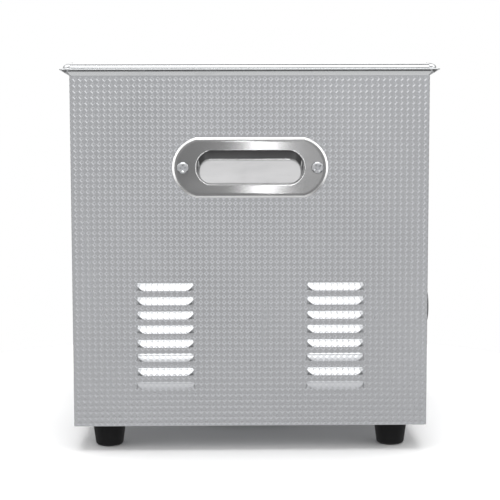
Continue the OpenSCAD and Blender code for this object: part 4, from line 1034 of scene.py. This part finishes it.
def makeHandles():
    halfWidth, halfHeight = handle["gripWidth"] / 2, handle["gripHeight"] / 2
    shape, screw, tree = handleShape(), makeScrew(), pairOnLine()
    pieces = []
    for side in ("left", "right"):
        piece = solid(side + "Handle", shape, Matrix.Translation((0, handle["z"], 0)))
        cut(piece, [bore(s * handle["screwGap"] / 2, handle["z"], holes["handleScrew"], -2 * mm, 4 * mm, 20)
                    for s in (-1, 1)])
        matrix = faceMatrix(side)
        piece.data.transform(matrix)
        settle(piece, "housing", "handle_steel", 24, side + "_handle")
        piece.data.materials.append(finishes["polished_edge"])
        piece.data.materials.append(finishes["pocket_shade"])
        ahead = matrix.to_3x3() @ Vector((0, 0, 1))
        for face in piece.data.polygons:
            tilt, up = face.normal.dot(ahead), abs(face.center.z - handle["z"])
            beyond = up > halfHeight + 3 * mm or abs(face.center.y) > halfWidth + 3 * mm
            # painted highlight: the sloping bevel faces round the flange take the pale copy of the steel
            if 0.4 < tilt < 0.97 and beyond and face.area > 0.1 * mm * mm:
                face.material_index = 1
            # painted shade: forward and downward facing faces high in the pocket take the darker copy of the
            # steel
            elif (tilt > 0.5 and face.normal.z < -0.12 and face.center.z > handle["z"]
                  and up < halfHeight + 8 * mm):
                face.material_index = 2
        pair = tree.grow(side + "HandleScrews", {"Fixing": screw, "Gap": handle["screwGap"],
                                                 "Turn": handle["screwTurn"]})
        pair.data.transform(matrix @ Matrix.Translation((0, handle["z"], handle["thick"])))
        settle(pair, "housing", "bright_fixings", 35, "handle_screws" if side == "left" else None)
        pieces.append(piece)
    bpy.data.objects.remove(screw)
    print("handles and screws")
    return pieces


foot = {"top": 24.5 * mm, "bottom": 20.5 * mm, "edge": 2.5 * mm, "bore": 5.6 * mm, "recess": 8 * mm,
        "screwHole": 2.2 * mm}


def makeFeet():
    low, high = (Vector(p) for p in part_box("rubber_feet"))
    rt, rb, e, tall, inner = foot["top"] / 2, foot["bottom"] / 2, foot["edge"], high.z, foot["bore"]
    profile = [(inner, 0.5 * mm), (inner + 0.5 * mm, 0), (rb - e, 0)]
    profile += [(rb - e + e * sine(a), e - e * cosine(a)) for a in range(12, 91, 13)]
    profile += [(rb + (rt - rb) * k / 4, e + (tall - 1.4 * mm - e) * k / 4) for k in (1, 2, 3, 4)]
    profile += [(rt, tall - 0.9 * mm), (rt - 0.3 * mm, tall - 0.25 * mm), (rt - 0.9 * mm, tall)]
    profile += [(foot["screwHole"], tall), (foot["screwHole"], foot["recess"]), (inner, foot["recess"])]
    shape = lathe(profile, 64, ring=True)
    corners = [(x, y) for x in (low.x + rt, high.x - rt) for y in (low.y + rt, high.y - rt)]
    feet = solid("rubberFeet", joined([placed(shape, x, y) for x, y in corners]))
    settle(feet, "housing", "foot_rubber", 35, "rubber_feet")
    print("feet")


plate = {"corner": 5 * mm, "bevel": 0.35 * mm, "bushHole": 10.4 * mm, "lampHole": 8.4 * mm}
dials = {"timer_knob": {"sweep": 300, "ticks": 31, "longEvery": 5, "numbers": range(0, 31, 5)},
         "heat_knob": {"sweep": 270, "ticks": 17, "longEvery": 4, "numbers": range(0, 81, 20)}}
dialSize = {"tick": (0.5 * mm, 1.7 * mm, 0.12 * mm), "radius": 21.0 * mm, "long": 0.7,
            "numberRadius": 26.8 * mm, "numberHeight": 4.4 * mm, "numberDeep": 0.05 * mm,
            "numberBold": 0.09 * mm}
knobSize = {"skirt": 4.0 * mm, "flutes": 24, "fluteDeep": 0.9 * mm, "topDrop": 3.0 * mm, "edge": 1.3 * mm,
            "nutWell": 9.8 * mm, "bore": 3.06 * mm, "boreTop": 0.78, "pointer": (1.5 * mm, 8.5 * mm, 0.7 * mm)}


def dialNumbers(dial, place):
    # plain numbers round a dial, each as a mesh
    meshes = []
    for number in dial["numbers"]:
        text = bpy.data.curves.new("number", "FONT")
        text.body = str(number)
        text.size = dialSize["numberHeight"]
        text.align_x = text.align_y = "CENTER"
        text.extrude = dialSize["numberDeep"]
        text.offset = dialSize["numberBold"]
        letters = newObject("number", text)
        mesh = plainMesh(letters)
        bpy.data.objects.remove(letters)
        a, r = dial["sweep"] * number / dial["numbers"][-1], dialSize["numberRadius"]
        mesh.transform(place @ Matrix.Translation((r * sine(a), r * cosine(a), 0)))
        meshes.append(mesh)
    return meshes


def makeControlPlate():
    low, high = (Vector(p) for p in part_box("control_plate"))
    w, h, t, mid = high.x - low.x, high.z - low.z, high.y - low.y, middle("control_plate")
    b, c = plate["bevel"], plate["corner"]
    loops = [roundedLoop(w, h, c, 0)]
    loops += [roundedLoop(w - 2 * b * k, h - 2 * b * k, c - b * k, t - b + b * math.sin(k * math.pi / 2))
              for k in (0, 0.4, 0.75, 1.0)]
    panel = solid("controlPlate", loft(loops), Matrix.Translation((mid.x, mid.z, 0)))
    knobs = (middle("timer_knob"), middle("heat_knob"))
    openings = [bore(knob.x, knob.z, plate["bushHole"] / 2, -2 * mm, 4 * mm) for knob in knobs]
    openings += [bore(mid.x, z, plate["lampHole"] / 2, -2 * mm, 4 * mm) for z in lampHeights()]
    cut(panel, openings)
    panel.data.transform(faceMatrix("front"))
    settle(panel, "housing", "plate_aluminium", 30, "control_plate")
    half = [v / 2 for v in dialSize["tick"]]
    tick = newObject("tick", meshFrom("tick", *boxShape([-v for v in half], half)))
    tree = dialMarks()
    for node, dial in dials.items():
        centre = middle(node)
        place = faceMatrix("front") @ Matrix.Translation((centre.x, centre.z, t))
        marks = tree.grow(node.split("_")[0] + "Ticks", {
            "Tick": tick, "Count": dial["ticks"], "Radius": dialSize["radius"],
            "Sweep": math.radians(dial["sweep"]), "Long Every": dial["longEvery"], "Long": dialSize["long"]})
        marks.data.transform(place)
        addTo(marks.data, dialNumbers(dial, place))
        tidyMesh(marks.data)
        settle(marks, "housing", "black_moulding", finish="dial_ink")
    bpy.data.objects.remove(tick)
    print("control plate")


def flutedLoop(r, z, flute=0.0):
    turns = knobSize["flutes"] * 8
    loop = []
    for k in range(turns):
        a = 2 * math.pi * k / turns
        dent = flute * (0.5 - 0.5 * math.cos(a * knobSize["flutes"])) ** 1.6
        loop.append(Vector(((r - dent) * math.cos(a), (r - dent) * math.sin(a), z)))
    return loop


def makeKnobs():
    f, e, skirt, around = knobSize["fluteDeep"], knobSize["edge"], knobSize["skirt"], flutedLoop
    hole, well = knobSize["bore"], knobSize["nutWell"]
    for node, body in (("timer_knob", "timer_control"), ("heat_knob", "heat_control")):
        low, high = (Vector(p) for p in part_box(node))
        radius, tall = (high.x - low.x) / 2, high.y - low.y - 0.6 * mm
        side, top, fluteStart = radius - 1.6 * mm, radius - knobSize["topDrop"], skirt + 1.2 * mm
        loops = [around(hole, knobSize["boreTop"] * tall), around(hole, skirt), around(well, skirt),
                 around(well, 0), around(radius - 0.3 * mm, 0), around(radius, 0.3 * mm),
                 around(radius, skirt - 1.0 * mm), around(radius - 0.4 * mm, skirt - 0.4 * mm),
                 around(side + 0.3 * mm, skirt), around(side, skirt + 0.4 * mm, f * 0.6),
                 around(side - 0.1 * mm, fluteStart, f)]
        loops += [around(side + (top - side) * k / 3, fluteStart + (tall - e - fluteStart) * k / 3, f)
                  for k in (1, 2, 3)]
        loops += [around(top - e + e * cosine(a), tall - e + e * sine(a), f * cosine(a) ** 2)
                  for a in (20, 45, 70, 90)]
        loops += [around(top - e - 0.8 * mm, tall), around(top - e - 1.6 * mm, tall - 0.5 * mm),
                  around(4 * mm, tall - 0.7 * mm), around(0.3 * mm, tall - 0.7 * mm)]
        place = faceMatrix("front", (middle(node).x, high.y, middle(node).z))
        knob = solid(node.replace("_k", "K"), loft(loops), place)
        settle(knob, body, "knob_plastic", 38, node)
        w, long, corner = knobSize["pointer"]
        mark = roundedSlab(0, top - e - 1.0 * mm - long / 2, w, long, corner, tall - 1.0 * mm,
                           tall + 0.12 * mm, 4)
        pointer = solid(node.split("_")[0] + "Pointer", mark, place)
        settle(pointer, body, "pale_moulding")
    print("knobs")


stage = {"radius": 0.34, "z": -0.0002, "turns": 96}
# four boards stand round the object, so each side is lit alike; angles are in degrees, sizes in metres
boards = {"turns": (0, 90, 180, 270), "far": 1.8, "low": 19, "high": 46, "halfWidth": 15, "watts": 5.0,
          "aim": 0.15}
topLight = {"height": 1.7, "size": 1.5, "watts": 25.0}
strips = [{"turns": (1.6, 181.6), "low": -6, "high": 7, "width": 0.045, "far": 2.4, "watts": 1.0},
          {"turns": (5.2, 185.2), "low": -6, "high": 7, "width": 0.16, "far": 2.45, "watts": 0.25},
          {"turns": (76, -76, 104, -104), "low": -25, "high": 40, "width": 1.2, "far": 2.2, "watts": 16.0}]
rimBoards = {"turns": (90, 180, 270), "rise": 60, "far": 1.9, "width": 1.1, "height": 0.9, "watts": 6.5,
             "aim": 0.28}
# what reflections see: brightness of each part of the room, and where it starts and ends
studio = {"spot": 0.54, "ring": 0.92, "spotEdge": (0.966, 0.986), "dip": 6.0, "backdrop": 1.0,
          "between": 0.6, "cornerEdge": (0.32, 0.5), "levelEdge": (0.3, 0.55),
          "under": 0.85, "underEdge": (-0.54, -0.47), "groundEdge": (-0.86, -0.78),
          "overhead": 0.3, "overheadEdge": (0.8, 0.97)}
cameraFit = {"back": 1.1, "aside": 0.0186, "height": 0.2693, "pitch": 6.362, "yaw": -0.957, "roll": 0.098,
             "focal": 111.24}


def makeStage():
    n = stage["turns"]
    points = [(0, 0, stage["z"])] + circle(stage["radius"], stage["z"], n)
    s = Shade("paleFloor")
    s.set(Base_Color=s.blend(s.noise(3, 3, 0.5), (0.93, 0.93, 0.93), (0.95, 0.95, 0.95)), Roughness=0.8,
          Specular_IOR_Level=0.2)
    floor = newObject("floor", meshFrom("floor", points, [(0, k + 1, (k + 1) % n + 1) for k in range(n)]))
    floor.data.materials.append(s.material)
    floor.visible_glossy = False


def areaLight(name, place, aim, width, height, watts):
    lamp = bpy.data.lights.new(name, "AREA")
    lamp.shape = "RECTANGLE"
    lamp.size = width
    lamp.size_y = height
    lamp.energy = watts
    thing = newObject(name, lamp)
    thing.location = place
    thing.rotation_euler = (Vector(aim) - Vector(place)).to_track_quat("-Z", "Y").to_euler()
    thing.visible_camera = False
    return thing


def boardAt(name, turn, board, width):
    # turn is the heading from the object, 0 towards the louvred end that faces the camera
    far, aim, low, high = board["far"], boards["aim"], board["low"], board["high"]
    lowZ, highZ = (aim + far * math.tan(math.radians(a)) for a in (low, high))
    place = Vector((far * cosine(180 + turn), far * sine(180 + turn), (lowZ + highZ) / 2))
    height = (highZ - lowZ) * cosine((low + high) / 2)
    return areaLight(name, place, (0, 0, aim), width, height, board["watts"])


def groupOf(name, pieces):
    group = bpy.data.collections.new(name)
    for piece in pieces:
        group.objects.link(piece)
    return group


def makeLights(handles, drawnTank):
    for turn in boards["turns"]:
        boardAt("board", turn, boards, 2 * boards["far"] * math.tan(math.radians(boards["halfWidth"])))
    # narrow strips and edge boards give the brushed handles their streaks
    onlyHandles = groupOf("handlesOnly", handles)
    for strip in strips:
        for turn in strip["turns"]:
            lamp = boardAt("strip", turn, strip, strip["width"])
            lamp.light_linking.receiver_collection = onlyHandles
    # the rim takes its light from higher boards and not from overhead
    top = areaLight("top", (0, 0, topLight["height"]), (0, 0, 0), topLight["size"], topLight["size"],
                    topLight["watts"])
    notRim, onlyRim = groupOf("notRim", [drawnTank]), groupOf("rimOnly", [drawnTank])
    top.light_linking.receiver_collection = notRim
    notRim.collection_objects[0].light_linking.link_state = "EXCLUDE"
    far, rise, aim = rimBoards["far"], rimBoards["rise"], (0, 0, rimBoards["aim"])
    for turn in rimBoards["turns"]:
        reach = far * cosine(rise)
        place = (reach * cosine(turn), reach * sine(turn), rimBoards["aim"] + far * sine(rise))
        lamp = areaLight("rimBoard", place, aim, rimBoards["width"], rimBoards["height"], rimBoards["watts"])
        lamp.light_linking.receiver_collection = onlyRim
    print("lights")


def makeWorld():
    # darker towards the four sides, as a room is between its soft boxes, and a white backdrop
    world = bpy.data.worlds.new("studio")
    bpy.context.scene.world = world
    world.use_nodes = True
    graph = Graph(world.node_tree)
    x, y, z = graph.axes(graph.node("ShaderNodeTexCoord", {}, {}, "Generated"))
    side = abs(x).maths("MAXIMUM", abs(y)) * cosine(studio["dip"]) - z * sine(studio["dip"])
    ring = side.step(*studio["spotEdge"], studio["ring"], studio["spot"])
    corner = abs(x).maths("MINIMUM", abs(y)).step(*studio["cornerEdge"])
    corner = corner * abs(z).step(*studio["levelEdge"], 1.0, 0.0)
    gloom = z.step(*studio["underEdge"], 1.0, 0.0) * z.step(*studio["groundEdge"])
    around = ring * (1 - corner * studio["between"]) * (1 - gloom * studio["under"])
    around = around * z.step(*studio["overheadEdge"], 1.0, studio["overhead"])
    seen = graph.node("ShaderNodeLightPath", {}, {}, "Is Camera Ray")
    background = world.node_tree.nodes["Background"]
    graph.feed(background.inputs[0], (1, 1, 1))
    graph.feed(background.inputs[1], seen * studio["backdrop"] + (1 - seen) * around)


def makeCamera():
    lens = bpy.data.cameras.new("camera")
    lens.lens = cameraFit["focal"]
    lens.sensor_width = 36
    lens.clip_end = 50
    camera = newObject("camera", lens)
    p, y = cameraFit["pitch"], cameraFit["yaw"]
    ahead = Vector((cosine(p) * cosine(y), cosine(p) * sine(y), -sine(p)))
    turn = ahead.to_track_quat("-Z", "Y").to_matrix().to_4x4()
    turn = turn @ Matrix.Rotation(math.radians(-cameraFit["roll"]), 4, "Z")
    place = (-housing["endX"] - cameraFit["back"], cameraFit["aside"], cameraFit["height"])
    camera.matrix_world = Matrix.Translation(place) @ turn
    bpy.context.scene.camera = camera
    bpy.context.scene.view_settings.view_transform = "Standard"
    print("camera")


makeCamera()
makeStage()
makeFinishes()
makePanels()
drawnTank = makeTank()
handles = makeHandles()
makeFeet()
makeControlPlate()
makeKnobs()
makeLights(handles, drawnTank)
makeWorld()
